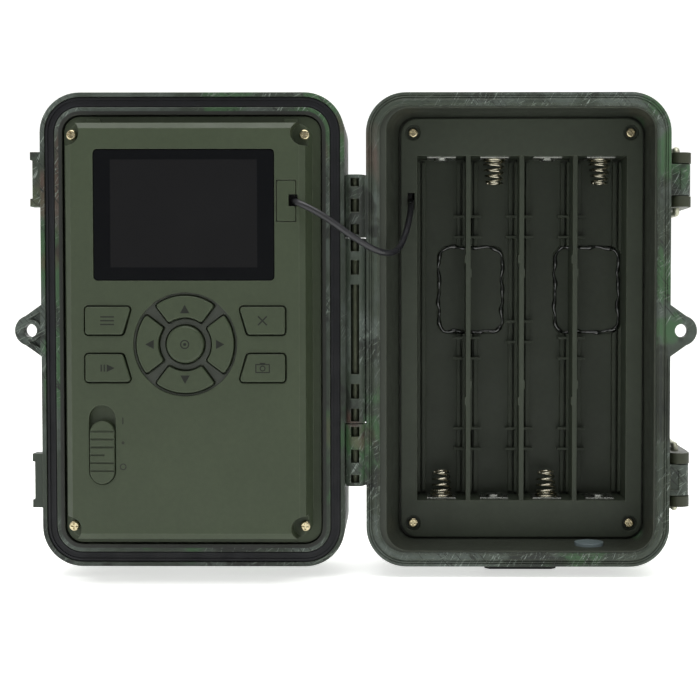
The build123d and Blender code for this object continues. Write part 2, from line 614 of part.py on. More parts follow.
def ir_leds():
    """The infrared emitters: small domed lamps in rows on their board."""
    made = []
    for row in range(5):
        for column in range(8):
            x = CAM_X + (column - 3.5) * 7.0
            z = MID_Z + IR_Z + (row - 2) * 6.8
            made.append(disc(x, z, 1.5, 29.6, 32.2) + Pos(x, 32.2, z) * Sphere(1.5))
    return Compound(children=made)


def pir_lens():
    """The white motion-sensor lens: a flat rim and a wide curved dome, open behind."""
    z = MID_Z + PIR_Z
    rim = plate(CAM_X, z, PIR_W, PIR_H, FACE_Y, FACE_Y + 1.6, 3.0)
    big = 22.0
    centre_y = FACE_Y + 6.8 - big
    dome = rod(CAM_X, centre_y, z - 9.2, z + 9.2, big)
    keep = plate(CAM_X, z, PIR_W - 4, 18.4, FACE_Y, FACE_Y + 12, 2.0)
    inner = rod(CAM_X, centre_y, z - 8.2, z + 8.2, big - 1.0)
    hollow = inner & plate(CAM_X, z, PIR_W - 6.5, 16.4, FACE_Y - 1, FACE_Y + 12, 1.2)
    return rim + (dome & keep) - hollow - plate(CAM_X, z, PIR_W - 6.5, 16.4, FACE_Y - 1, FACE_Y + 1.0, 1.2)


def pir_board():
    z = MID_Z + PIR_Z
    return block(CAM_X - 22.5, CAM_X + 22.5, 24.0, 25.6, z - 9, z + 9)


def pir_sensor():
    z = MID_Z + PIR_Z
    return disc(CAM_X, z, 4.6, 25.6, 29.8)


def light_sensor():
    return disc(CAM_X + 22, MID_Z + LENS_Z, 2.5, 33.0, FACE_Y + BEZEL_T - 0.2)


def status_led():
    return disc(CAM_X - 22, MID_Z + LENS_Z, 2.5, 33.0, FACE_Y + BEZEL_T - 0.2)


def speaker():
    return disc(CAM_X + SPEAKER_X, MID_Z + SPEAKER_Z, 7.0, 29.5, FACE_Y - FACE_WALL)


def microphone():
    return disc(CAM_X - SPEAKER_X, MID_Z + SPEAKER_Z, 3.0, 31.0, FACE_Y - FACE_WALL)


# ---------------------------------------------------------------- battery half
def rear_shell():
    body = sink(BAT_X, MID_Z, HALF_W, CASE_H, RIM_Y, BACK_Y, CORNER_R, SHELL_DRAFT)
    body = fillet(back_edges(body), 5.0)
    body -= recess()
    body -= inset_plate(BAT_X, LIP_INSET, RIM_Y - EXTRA, RIM_Y + LIP_DEPTH)
    cavity = plate(TRAY_X, MID_Z, 74.0, 126.0, TRAY_FRONT, BACK_Y - FACE_WALL, 5.0)
    for dx, dz in corners(TRAY_SCREW_X, TRAY_SCREW_Z):
        cavity -= disc(TRAY_X + dx, MID_Z + dz, 3.8, TRAY_FRONT + TRAY_T, BACK_Y)
    body -= cavity
    for dx, dz in corners(TRAY_SCREW_X, TRAY_SCREW_Z):
        body -= screw_hole(TRAY_X + dx, MID_Z + dz, TRAY_FRONT, 32.0)
    # sealing lip that presses into the gasket, and fine lines round the rim
    body += ring(BAT_X, 2.25, 3.45, RIM_Y - 0.35, RIM_Y + 0.1)
    for inset in (0.8, 1.5):
        body -= ring(BAT_X, inset, inset + 0.3, RIM_Y - EXTRA, RIM_Y + 0.4)
    for sign in (-1, 1):
        body += latch_boss(sign)
    body += padlock_ear(1)
    body -= disc(EAR_X, MID_Z, EAR_HOLE_R, RIM_Y - EXTRA, RIM_Y + EAR_T + EXTRA)
    gap = KNUCKLE_GAP / 2
    body += knuckle(1, MID_Z + KNUCKLE_SPLIT + gap, MID_Z + HINGE_HALF)
    body += knuckle(1, MID_Z - HINGE_HALF, MID_Z - KNUCKLE_SPLIT - gap)
    body += knuckle_ledge(1, MID_Z - KNUCKLE_SPLIT + gap, MID_Z + KNUCKLE_SPLIT - gap)
    body -= rod(0, 0, 0, 2 * MID_Z, PIN_R)
    for window in hinge_windows(UPPER_WINDOWS + LOWER_WINDOWS):
        body -= window
    for sign in (-1, 1):
        z = MID_Z + sign * LATCH_Z
        body -= rod(LATCH_PIVOT_X, LATCH_PIVOT_Y, z - LEVER_HALF, z + LEVER_HALF, LATCH_PIN_R)
    # seats for the tripod insert and the power socket, and the bracket screws
    body -= rod(TRIPOD_X, TRIPOD_Y, FOOT_H - EXTRA, FOOT_H + 4.4, 4.3)
    body -= rod(JACK_X, JACK_Y, FOOT_H - EXTRA, FOOT_H + JACK_H + EXTRA, JACK_R + 0.05)
    for dx, dz in corners(BRACKET_SCREW_X, BRACKET_SCREW_Z):
        body -= screw_hole(BAT_X + dx, MID_Z + dz, BACK_Y - FACE_WALL - EXTRA, BACK_Y + EXTRA)
    return body


def recess():
    """The hollow in front of the tray, from its mouth to the narrower ledge the tray stands on."""
    ledge_w, ledge_h = TRAY_W + 2 * TRAY_GAP, TRAY_H + 2 * TRAY_GAP
    mouth = facing(MOUTH_X, MID_Z, RIM_Y - EXTRA) * outline(MOUTH_W, MOUTH_H, MOUTH_R)
    ledge = facing(TRAY_X, MID_Z, TRAY_FRONT + TRAY_T) * outline(ledge_w, ledge_h, TRAY_R)
    return loft([mouth.face(), ledge.face()])


def latch_boss(sign):
    """The block that carries a lever's pin, with a shallow panel in its front."""
    z = MID_Z + sign * LATCH_Z
    front = LATCH_PIVOT_Y - BOSS_R
    body = rod(LATCH_PIVOT_X, LATCH_PIVOT_Y, z - BOSS_HALF, z + BOSS_HALF, BOSS_R)
    body += block(OUTER_X - 2.0, LATCH_PIVOT_X, front, LATCH_PIVOT_Y + BOSS_R, z - BOSS_HALF, z + BOSS_HALF)
    return body - block(OUTER_X + 0.7, LATCH_PIVOT_X - 0.4, front - EXTRA, front + 0.35, z - 3.0, z + 3.0)


def latch_lever(sign):
    """Two arms either side of the boss, joined behind it by a slightly crowned thumb plate."""
    z = MID_Z + sign * LATCH_Z
    plate_in = LEVER_OUT - 2.2
    body = block(plate_in, LEVER_OUT, LATCH_PIVOT_Y + 4.0, LEVER_END_Y, z - LEVER_HALF, z + LEVER_HALF)
    for side in (-1, 1):
        z0, z1 = sorted((z + side * LEVER_HALF, z + side * (LEVER_HALF - ARM_T)))
        body += rod(LATCH_PIVOT_X, LATCH_PIVOT_Y, z0, z1, LEVER_EYE_R)
        body += block(LEVER_IN, LEVER_OUT - 0.2, LATCH_PIVOT_Y, LATCH_PIVOT_Y + 9.0, z0, z1)
        body += block(plate_in - 1.4, LEVER_OUT - 0.2, LATCH_PIVOT_Y + 8.0, LEVER_END_Y - 2.0, z0, z1)
    body -= rod(LATCH_PIVOT_X, LATCH_PIVOT_Y, z - 12, z + 12, LATCH_PIN_R + RUNNING)
    body -= rod(BAIL_X, BAIL_Y, z - 12, z + 12, BAIL_R + RUNNING)
    far = body.edges().filter_by(Axis.Z).group_by(Axis.Y)[-1]
    body = fillet(far, 0.9)
    for rib in range(4):
        y = LEVER_END_Y - 3.0 - rib * 2.2
        body -= block(LEVER_OUT - 0.5, LEVER_OUT + EXTRA, y - 0.4, y + 0.4, z - 6.4, z + 6.4)
    return body


def latch_pin(sign):
    z = MID_Z + sign * LATCH_Z
    return rod(LATCH_PIVOT_X, LATCH_PIVOT_Y, z - LEVER_HALF, z + LEVER_HALF, LATCH_PIN_R)


def wire_bail(sign):
    """A wire loop whose two ends turn inwards into the lever's arms."""
    z = MID_Z + sign * LATCH_Z
    inner = LEVER_HALF - 2.6
    path = FilletPolyline((BAIL_X, BAIL_Y, z - inner), (BAIL_X, BAIL_Y, z - BAIL_LEG_Z),
                          (BAIL_X, BAIL_Y + BAIL_L, z - BAIL_LEG_Z), (BAIL_X, BAIL_Y + BAIL_L, z + BAIL_LEG_Z),
                          (BAIL_X, BAIL_Y, z + BAIL_LEG_Z), (BAIL_X, BAIL_Y, z + inner),
                          radius=[1.1, 2.0, 2.0, 1.1])
    return sweep(Plane(origin=path @ 0, z_dir=path % 0) * Circle(BAIL_R), path=path)


def battery_tray():
    """The tray face with four battery bays, ribs on their floors, and openings behind the floor covers."""
    body = plate(TRAY_X, MID_Z, TRAY_W, TRAY_H, TRAY_FRONT, TRAY_FRONT + TRAY_T, TRAY_R)
    outer_w, outer_h = 4 * BAY_W + 3 * DIVIDER + 2 * BAY_SIDE, BAY_H + 2 * BAY_END
    body += plate(TRAY_X, MID_Z, outer_w, outer_h, TRAY_FRONT, TRAY_BACK, 1.5)
    for column in range(4):
        body -= bay_cut(column)
    for column in range(4):
        x = bay_x(column)
        for side in (-1, 1):
            rib_x = x + side * 5.6
            body += block(rib_x - 0.6, rib_x + 0.6, BAY_FLOOR - 1.9, BAY_FLOOR + 0.2, MID_Z - 53, MID_Z + 53)
            edge_x = x + side * (BAY_W / 2 - 0.4)
            body += block(edge_x - 0.4, edge_x + 0.45, BAY_FLOOR - 3.4, BAY_FLOOR + 0.2, MID_Z - 53,
                          MID_Z + 53)
    for index in (-1, 0, 1):
        body = divider_details(body, TRAY_X + index * BAY_PITCH, index)
    for dx in COVER_PLATES_X:
        body -= plate(TRAY_X + dx, MID_Z + COVER_PLATE_Z, COVER_PLATE_W + 0.2, COVER_PLATE_H + 0.2,
                      BAY_FLOOR - 4.0, TRAY_BACK + EXTRA, COVER_PLATE_R + 0.1)
    for index in (-1, 1):
        x = TRAY_X + index * BAY_PITCH
        body += block(x - DIVIDER / 2, x + DIVIDER / 2, BAY_FLOOR - 8, BAY_FLOOR, MID_Z - 6, MID_Z + 30)
    for dx, dz in corners(TRAY_SCREW_X, TRAY_SCREW_Z):
        body -= disc(TRAY_X + dx, MID_Z + dz, SCREW_R + 0.2, TRAY_FRONT - EXTRA, TRAY_FRONT + TRAY_T + EXTRA)
        body -= disc(TRAY_X + dx, MID_Z + dz, SCREW_SINK_R, TRAY_FRONT - EXTRA, TRAY_FRONT + SCREW_SINK)
    body -= plate(TRAY_X + WIRE_HOLE_X, MID_Z + WIRE_HOLE_Z, WIRE_HOLE_W, WIRE_HOLE_H, TRAY_FRONT - EXTRA,
                  TRAY_FRONT + TRAY_T + EXTRA)
    return body


def bay_x(column):
    return TRAY_X + (column - 1.5) * BAY_PITCH


def bay_cut(column):
    return plate(bay_x(column), MID_Z, BAY_W, BAY_H, TRAY_FRONT - EXTRA, BAY_FLOOR)


def divider_details(body, x, index):
    """Cell-retaining bumps near a divider's top edge, and wire slots with short ribs at its foot."""
    half = DIVIDER / 2
    body -= plate(x, MID_Z, DIVIDER, BAY_H, TRAY_FRONT - EXTRA, TRAY_FRONT + 0.3)
    for z, side in ((21.8, -1), (17.4, 1), (-17.6, 1), (-22.8, -1)):
        x0, x1 = sorted((x, x + side * (half + 0.35)))
        body += block(x0, x1, TRAY_FRONT + 0.3, TRAY_FRONT + 5.0, MID_Z + z - 1.3, MID_Z + z + 1.3)
    middle = -1.3 if index == 0 else -6.6
    for z in (32.4, middle, -35.8):
        for end in (-3.3, 3.3):
            body += block(x - 4.4, x + 4.4, BAY_FLOOR - 3.9, BAY_FLOOR - 1.5, MID_Z + z + end - 0.4,
                          MID_Z + z + end + 0.4)
        body -= plate(x + half + 0.4, MID_Z + z, 0.8, 5.8, BAY_FLOOR - 4.0, BAY_FLOOR + 0.8)
    return body


def bay_floor_covers():
    made = []
    for dx in COVER_PLATES_X:
        made.append(plate(TRAY_X + dx, MID_Z + COVER_PLATE_Z, COVER_PLATE_W, COVER_PLATE_H, BAY_FLOOR,
                          BAY_FLOOR + 1.3, COVER_PLATE_R))
    return Compound(children=made)


def battery_springs():
    """Stand-ins for the four conical coils, one at an end of each bay."""
    half_wire = SPRING_WIRE / 2
    made = []
    for column, end in SPRING_COLUMNS:
        cone = Cone(SPRING_BASE_R + half_wire, SPRING_TIP_R + half_wire, SPRING_H)
        coil = cone - Cone(SPRING_BASE_R - half_wire, SPRING_TIP_R - half_wire, SPRING_H)
        if end > 0:
            coil = Rot(180, 0, 0) * coil
        made.append(Pos(bay_x(column), CELL_Y, MID_Z + end * (BAY_H / 2 - CONTACT_T - SPRING_H / 2)) * coil)
    return Compound(children=made)


def battery_contacts():
    """A thin plate at both ends of every bay: spring seats at one end, button contacts at the other."""
    made = []
    for column, spring_end in SPRING_COLUMNS:
        x = bay_x(column)
        for end in (-1, 1):
            z0, z1 = sorted((MID_Z + end * BAY_H / 2, MID_Z + end * (BAY_H / 2 - CONTACT_T)))
            tab = block(x - 4.5, x + 4.5, CELL_Y - 4.5, CELL_Y + 4.5, z0, z1)
            if end != spring_end:
                z2, z3 = sorted((MID_Z + end * (BAY_H / 2 - CONTACT_T), MID_Z + end * (BAY_H / 2 - 1.0)))
                tab += rod(x, CELL_Y, z2, z3, 2.4)
            made.append(tab)
    return Compound(children=made)


def battery_terminal():
    """The soldered terminal behind the tray face where the power cable ends."""
    z = CABLE_END_Z
    return block(CABLE_END_X - 1.4, CABLE_END_X + 0.4, CABLE_END_Y, CABLE_END_Y + 4.0, z - 3.0, z + 3.0)


def dc_jack():
    """The round external power socket: a sleeve through the lower wall with its centre pin."""
    body = rod(JACK_X, JACK_Y, FOOT_H, FOOT_H + JACK_H, JACK_R)
    body -= rod(JACK_X, JACK_Y, FOOT_H - EXTRA, FOOT_H + 3.6, 2.75)
    return body + rod(JACK_X, JACK_Y, FOOT_H + 2.2, FOOT_H + 4.0, 0.65)


def dc_plug():
    """The rubber cover of the power socket: a flap under the case with a short stem."""
    flap = Pos(JACK_X, JACK_Y, FOOT_H - 0.4) * extrude(SlotOverall(20.5, 9.6), amount=0.4)
    bulge = rod(JACK_X, JACK_Y, FOOT_H - 0.9, FOOT_H - 0.35, 4.6)
    return flap + bulge + rod(JACK_X, JACK_Y, FOOT_H - 0.1, FOOT_H + 1.6, 2.6)


def tripod_plate():
    body = block(TRIPOD_X - 11, TRIPOD_X + 11, TRIPOD_Y - 9, TRIPOD_Y + 9, 0.5, FOOT_H)
    body = chamfer(body.edges().filter_by(Axis.Z), 1.5)
    return body - rod(TRIPOD_X, TRIPOD_Y, -1, FOOT_H + 1, 4.3)


def tripod_insert():
    body = rod(TRIPOD_X, TRIPOD_Y, 0, FOOT_H + 4.4, 4.3)
    return body - rod(TRIPOD_X, TRIPOD_Y, -1, FOOT_H + 3.6, TRIPOD_HOLE_R)


def strap_bracket():
    """A tree bracket on the back: a base plate, two strap bars and two rows of gripping teeth."""
    width, height = 60.0, 62.0
    base_back = BACK_Y + BRACKET_BASE
    body = plate(BAT_X, MID_Z, width, height, BACK_Y, base_back, 4.0)
    bar_back = base_back + STRAP_GAP + STRAP_BAR
    for side in (-1, 1):
        x = BAT_X + side * STRAP_BAR_X
        bar = block(x - 3.0, x + 3.0, base_back + STRAP_GAP, bar_back, MID_Z - 20, MID_Z + 20)
        bar = fillet(bar.edges().filter_by(Axis.Z).group_by(Axis.Y)[-1], 1.2)
        body += bar
        for end in (-1, 1):
            z0, z1 = sorted((MID_Z + end * 20, MID_Z + end * STRAP_SLOT_H / 2))
            body += block(x - 3.0, x + 3.0, base_back - 0.5, base_back + STRAP_GAP + 0.5, z0, z1)
    for end in (-1, 1):
        for tooth in range(7):
            x = BAT_X + (tooth - 3) * 5.0
            wedge = Polygon((x - 2.2, 0), (x + 2.2, 0), (x, 4.0), align=None)
            body += Pos(0, base_back - 0.1, MID_Z + end * 28.0 - 2.0) * extrude(wedge, amount=4.0)
    for dx, dz in corners(BRACKET_SCREW_X, BRACKET_SCREW_Z):
        body -= disc(BAT_X + dx, MID_Z + dz, SCREW_R + 0.2, BACK_Y - EXTRA, base_back + EXTRA)
        body -= disc(BAT_X + dx, MID_Z + dz, 2.2, base_back - 1.0, base_back + EXTRA)
    return body


def bracket_screws():
    """Four screws that hold the bracket, with their heads sunk in its back face."""
    made = []
    for dx, dz in corners(BRACKET_SCREW_X, BRACKET_SCREW_Z):
        x, z = BAT_X + dx, MID_Z + dz
        seat = BACK_Y + BRACKET_BASE - 1.0
        head = disc(x, z, SCREW_HEAD_R, seat, seat + 0.9)
        body = head + disc(x, z, SCREW_R, BACK_Y - FACE_WALL, seat)
        made.append(body - cross(x, z, seat + 0.4, seat + 2.0))
    return Compound(children=made)


def hinge_pin():
    return rod(0, 0, MID_Z - HINGE_HALF, MID_Z + HINGE_HALF, PIN_R)


# ---------------------------------------------------------------- power cable
def corner_radii(points):
    radii = []
    for before, at, after in zip(points, points[1:], points[2:]):
        first, second = Vector(*at) - Vector(*before), Vector(*after) - Vector(*at)
        turn = math.radians(first.get_angle(second))
        radii.append(0.45 * min(first.length, second.length) / math.tan(turn / 2))
    return radii


def power_cable():
    radii = corner_radii(CABLE_ROUTE)
    path = FilletPolyline(*CABLE_ROUTE, radius=radii)
    tube = sweep(Plane(origin=path @ 0, z_dir=path % 0) * Circle(CABLE_R), path=path)
    print("cable radii", [round(r, 1) for r in radii], "length", round(path.length, 1),
          "volume", round(tube.volume, 1), "section x length", round(math.pi * CABLE_R ** 2 * path.length, 1))
    return tube


# ---------------------------------------------------------------- all nodes
def all_parts():
    parts = {
        "front_shell": front_shell(), "gasket": gasket(), "control_panel": control_panel(),
        "display_window": display_window(), "display_module": display_module(), "cable_cover": cable_cover(),
        "key_board": key_board(), "tact_switches": tact_switches(), "slide_knob": slide_knob(),
        "slide_switch_body": slide_switch_body(), "card_socket": card_socket(), "usb_socket": usb_socket(),
        "cable_connector": cable_connector(), "main_board": main_board(), "image_sensor": image_sensor(),
        "lens_barrel": lens_barrel(), "lens_ring": lens_ring(), "lens_window": lens_window(),
        "front_bezel": front_bezel(), "ir_window": ir_window(), "ir_led_board": ir_led_board(),
        "ir_leds": ir_leds(), "pir_lens": pir_lens(), "pir_board": pir_board(), "pir_sensor": pir_sensor(),
        "light_sensor": light_sensor(), "status_led": status_led(), "speaker": speaker(),
        "microphone": microphone(), "rear_shell": rear_shell(), "battery_tray": battery_tray(),
        "bay_floor_covers": bay_floor_covers(), "battery_springs": battery_springs(),
        "battery_contacts": battery_contacts(), "battery_terminal": battery_terminal(), "dc_jack": dc_jack(),
        "dc_plug": dc_plug(), "tripod_plate": tripod_plate(), "tripod_insert": tripod_insert(),
        "strap_bracket": strap_bracket(), "bracket_screws": bracket_screws(), "hinge_pin": hinge_pin(),
        "power_cable": power_cable(),
    }
    parts["panel_screws"] = Compound(children=[
        screw(CAM_X + dx, MID_Z + dz, SCREW_SEAT_Y, 12.0)
        for dx, dz in corners(PANEL_SCREW_X, PANEL_SCREW_Z)])
    parts["tray_screws"] = Compound(children=[
        screw(TRAY_X + dx, MID_Z + dz, TRAY_FRONT + SCREW_SINK, 30.0)
        for dx, dz in corners(TRAY_SCREW_X, TRAY_SCREW_Z)])
    parts.update(keys())
    for name, sign in (("upper", 1), ("lower", -1)):
        parts["latch_lever_" + name] = latch_lever(sign)
        parts["latch_pin_" + name] = latch_pin(sign)
        parts["wire_bail_" + name] = wire_bail(sign)
    return parts


os.makedirs("parts", exist_ok=True)
for node, shape in all_parts().items():
    export_step(Pos(0, SHIFT_Y, 0) * shape, f"parts/{node}.step")
print("nodes written; shift along y", round(SHIFT_Y, 3))
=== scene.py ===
import json
import math

import bpy
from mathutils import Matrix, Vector


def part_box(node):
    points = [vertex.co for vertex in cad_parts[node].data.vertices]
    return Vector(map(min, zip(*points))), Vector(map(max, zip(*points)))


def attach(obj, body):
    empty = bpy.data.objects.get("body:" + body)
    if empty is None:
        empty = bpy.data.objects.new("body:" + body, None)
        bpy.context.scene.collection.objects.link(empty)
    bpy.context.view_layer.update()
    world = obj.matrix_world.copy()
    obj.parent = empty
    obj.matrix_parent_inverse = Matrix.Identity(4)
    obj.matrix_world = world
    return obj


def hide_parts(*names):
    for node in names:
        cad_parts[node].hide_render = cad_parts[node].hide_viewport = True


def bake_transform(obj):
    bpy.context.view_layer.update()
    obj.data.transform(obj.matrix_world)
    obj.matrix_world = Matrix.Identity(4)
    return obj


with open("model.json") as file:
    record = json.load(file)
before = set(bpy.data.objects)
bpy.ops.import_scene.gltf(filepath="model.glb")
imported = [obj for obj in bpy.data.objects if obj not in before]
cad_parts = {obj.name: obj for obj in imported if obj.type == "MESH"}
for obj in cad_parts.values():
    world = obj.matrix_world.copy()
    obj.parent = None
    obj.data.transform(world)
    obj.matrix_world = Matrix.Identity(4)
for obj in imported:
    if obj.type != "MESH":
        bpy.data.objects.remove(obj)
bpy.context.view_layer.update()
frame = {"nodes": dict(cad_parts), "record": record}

# The looks of an open clamshell trail camera, in metres, round its CAD model.
# The camera half is at x < 0 and the battery half at x > 0; both open towards -Y.

MM = 0.001


def centre(node):
    low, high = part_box(node)
    return (low + high) / 2


PANEL_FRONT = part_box("control_panel")[0].y
DIAL = centre("key_ok")
CAMERA_MID = centre("gasket")
CASE_REAR_X = -CAMERA_MID.x
GASKET_INSET = 1.4 * MM
GASKET_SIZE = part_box("gasket")[1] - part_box("gasket")[0]
CASE_HALF_W = GASKET_SIZE.x / 2 + GASKET_INSET
CASE_HALF_H = GASKET_SIZE.z / 2 + GASKET_INSET
CASE_CORNER = 12 * MM
BAYS = [o for o in frame["record"]["physics"]["openings"] if o["name"].startswith("battery_bay")]


# ---------------------------------------------------------------- camera, light and floor
EYE = (0.0224, -0.437, 0.0869)
LOOK_AT = (0.0192, 0.0, 0.0722)
LENS_MM = 72.1
SHIFT_X = -0.1
SHIFT_Y = -0.02
BACKDROP_SEEN = 1.0
BACKDROP_LIGHT = 0.3
FLOOR_GLOW = 0.58


def make_camera():
    data = bpy.data.cameras.new("camera")
    data.lens = LENS_MM
    data.sensor_width = 36.0
    data.shift_x = SHIFT_X
    data.shift_y = SHIFT_Y
    data.clip_start = 0.01
    data.clip_end = 20.0
    camera = bpy.data.objects.new("camera", data)
    camera.location = EYE
    direction = Vector(LOOK_AT) - Vector(EYE)
    camera.rotation_euler = direction.to_track_quat("-Z", "Y").to_euler()
    bpy.context.scene.collection.objects.link(camera)
    bpy.context.scene.camera = camera


def area_light(name, place, size, power):
    data = bpy.data.lights.new(name, "AREA")
    data.shape = "RECTANGLE"
    data.size, data.size_y = size
    data.energy = power
    light = bpy.data.objects.new(name, data)
    light.location = place
    aim = Vector((0, 0, 0.07)) - Vector(place)
    light.rotation_euler = aim.to_track_quat("-Z", "Y").to_euler()
    bpy.context.scene.collection.objects.link(light)


def make_studio():
    """Soft light mostly from above. The backdrop is white to the eye and dimmer as a light."""
    area_light("overhead_softbox", (0.05, -0.2, 1.2), (1.3, 1.0), 15.0)
    area_light("left_softbox", (-1.0, -0.75, 0.6), (0.7, 0.9), 1.9)
    area_light("right_softbox", (1.1, -0.55, 0.5), (0.5, 0.8), 1.6)
    area_light("back_softbox", (0.1, 1.1, 0.8), (1.2, 0.8), 5.0)
    world = bpy.data.worlds.new("studio")
    world.use_nodes = True
    tree = world.node_tree
    seen = tree.nodes.new("ShaderNodeLightPath").outputs["Is Camera Ray"]
    strength = tree.nodes.new("ShaderNodeMapRange")
    strength.inputs["To Min"].default_value = BACKDROP_LIGHT
    strength.inputs["To Max"].default_value = BACKDROP_SEEN
    tree.links.new(seen, strength.inputs["Value"])
    tree.links.new(strength.outputs["Result"], tree.nodes["Background"].inputs["Strength"])
    tree.nodes["Background"].inputs["Color"].default_value = (1.0, 1.0, 1.0, 1)
    bpy.context.scene.world = world
    bpy.context.scene.view_settings.view_transform = "Standard"
    bpy.context.scene.view_settings.look = "None"


def make_floor():
    """A white sweep: a floor that rises in a wide curve behind the object and glows a little."""
    half, back, rise, top, steps = 3.0, 1.6, 1.0, 3.0, 24
    profile = [(-half, 0.0), (back, 0.0)]
    for step in range(1, steps + 1):
        angle = math.radians(90 * step / steps)
        profile.append((back + rise * math.sin(angle), rise * (1 - math.cos(angle))))
    profile.append((back + rise, top))
    verts = [(x, y, z) for y, z in profile for x in (-half, half)]
    faces = [(2 * i, 2 * i + 1, 2 * i + 3, 2 * i + 2) for i in range(len(profile) - 1)]
    floor = mesh_object("floor", verts, faces)
    surface = Surface("pale_floor", (238, 240, 237), 0.5)
    surface.vary(30, 0.01)
    surface.set("Emission Color", (1.0, 1.0, 0.99, 1.0))
    surface.set("Emission Strength", FLOOR_GLOW)
    surface.finish(floor)


# ---------------------------------------------------------------- mesh helpers
def mesh_object(name, verts, faces, smooth=False):
    data = bpy.data.meshes.new(name)
    data.from_pydata([tuple(v) for v in verts], [], faces)
    data.validate()
    data.update()
    if smooth:
        data.shade_smooth()
    made = bpy.data.objects.new(name, data)
    bpy.context.scene.collection.objects.link(made)
    return made


def tube_mesh(points, radii, sides=12, closed=False):
    """Vertices and faces of a round tube along points, with a frame carried along without twist."""
    points = [Vector(p) for p in points]
    count = len(points)
    verts, faces = [], []
    normal = None
    for i, at in enumerate(points):
        before = points[i - 1] if closed or i else points[0]
        after = points[(i + 1) % count] if closed or i < count - 1 else points[-1]
        along = (after - before).normalized()
        if normal is None:
            guess = Vector((0, 1, 0)) if abs(along.y) < 0.9 else Vector((1, 0, 0))
            normal = along.cross(guess).normalized()
        normal = (normal - along * normal.dot(along)).normalized()
        side = along.cross(normal)
        radius = radii[i] if isinstance(radii, (list, tuple)) else radii
        for k in range(sides):
            angle = 2 * math.pi * k / sides
            verts.append(at + (normal * math.cos(angle) + side * math.sin(angle)) * radius)
    for i in range(count if closed else count - 1):
        j = (i + 1) % count
        for k in range(sides):
            m = (k + 1) % sides
            faces.append((i * sides + k, i * sides + m, j * sides + m, j * sides + k))
    if not closed:
        faces.append(tuple(range(sides - 1, -1, -1)))
        faces.append(tuple((count - 1) * sides + k for k in range(sides)))
    return verts, faces


def join_parts(parts):
    verts, faces = [], []
    for part_verts, part_faces in parts:
        start = len(verts)
        verts += part_verts
        faces += [tuple(start + i for i in face) for face in part_faces]
    return verts, faces


# ---------------------------------------------------------------- material helpers
def linear(rgb):
    """An sRGB colour of 0 to 255 as linear RGBA."""
    out = []
    for value in rgb:
        c = value / 255
        out.append(c / 12.92 if c <= 0.04045 else ((c + 0.055) / 1.055) ** 2.4)
    return (*out, 1.0)


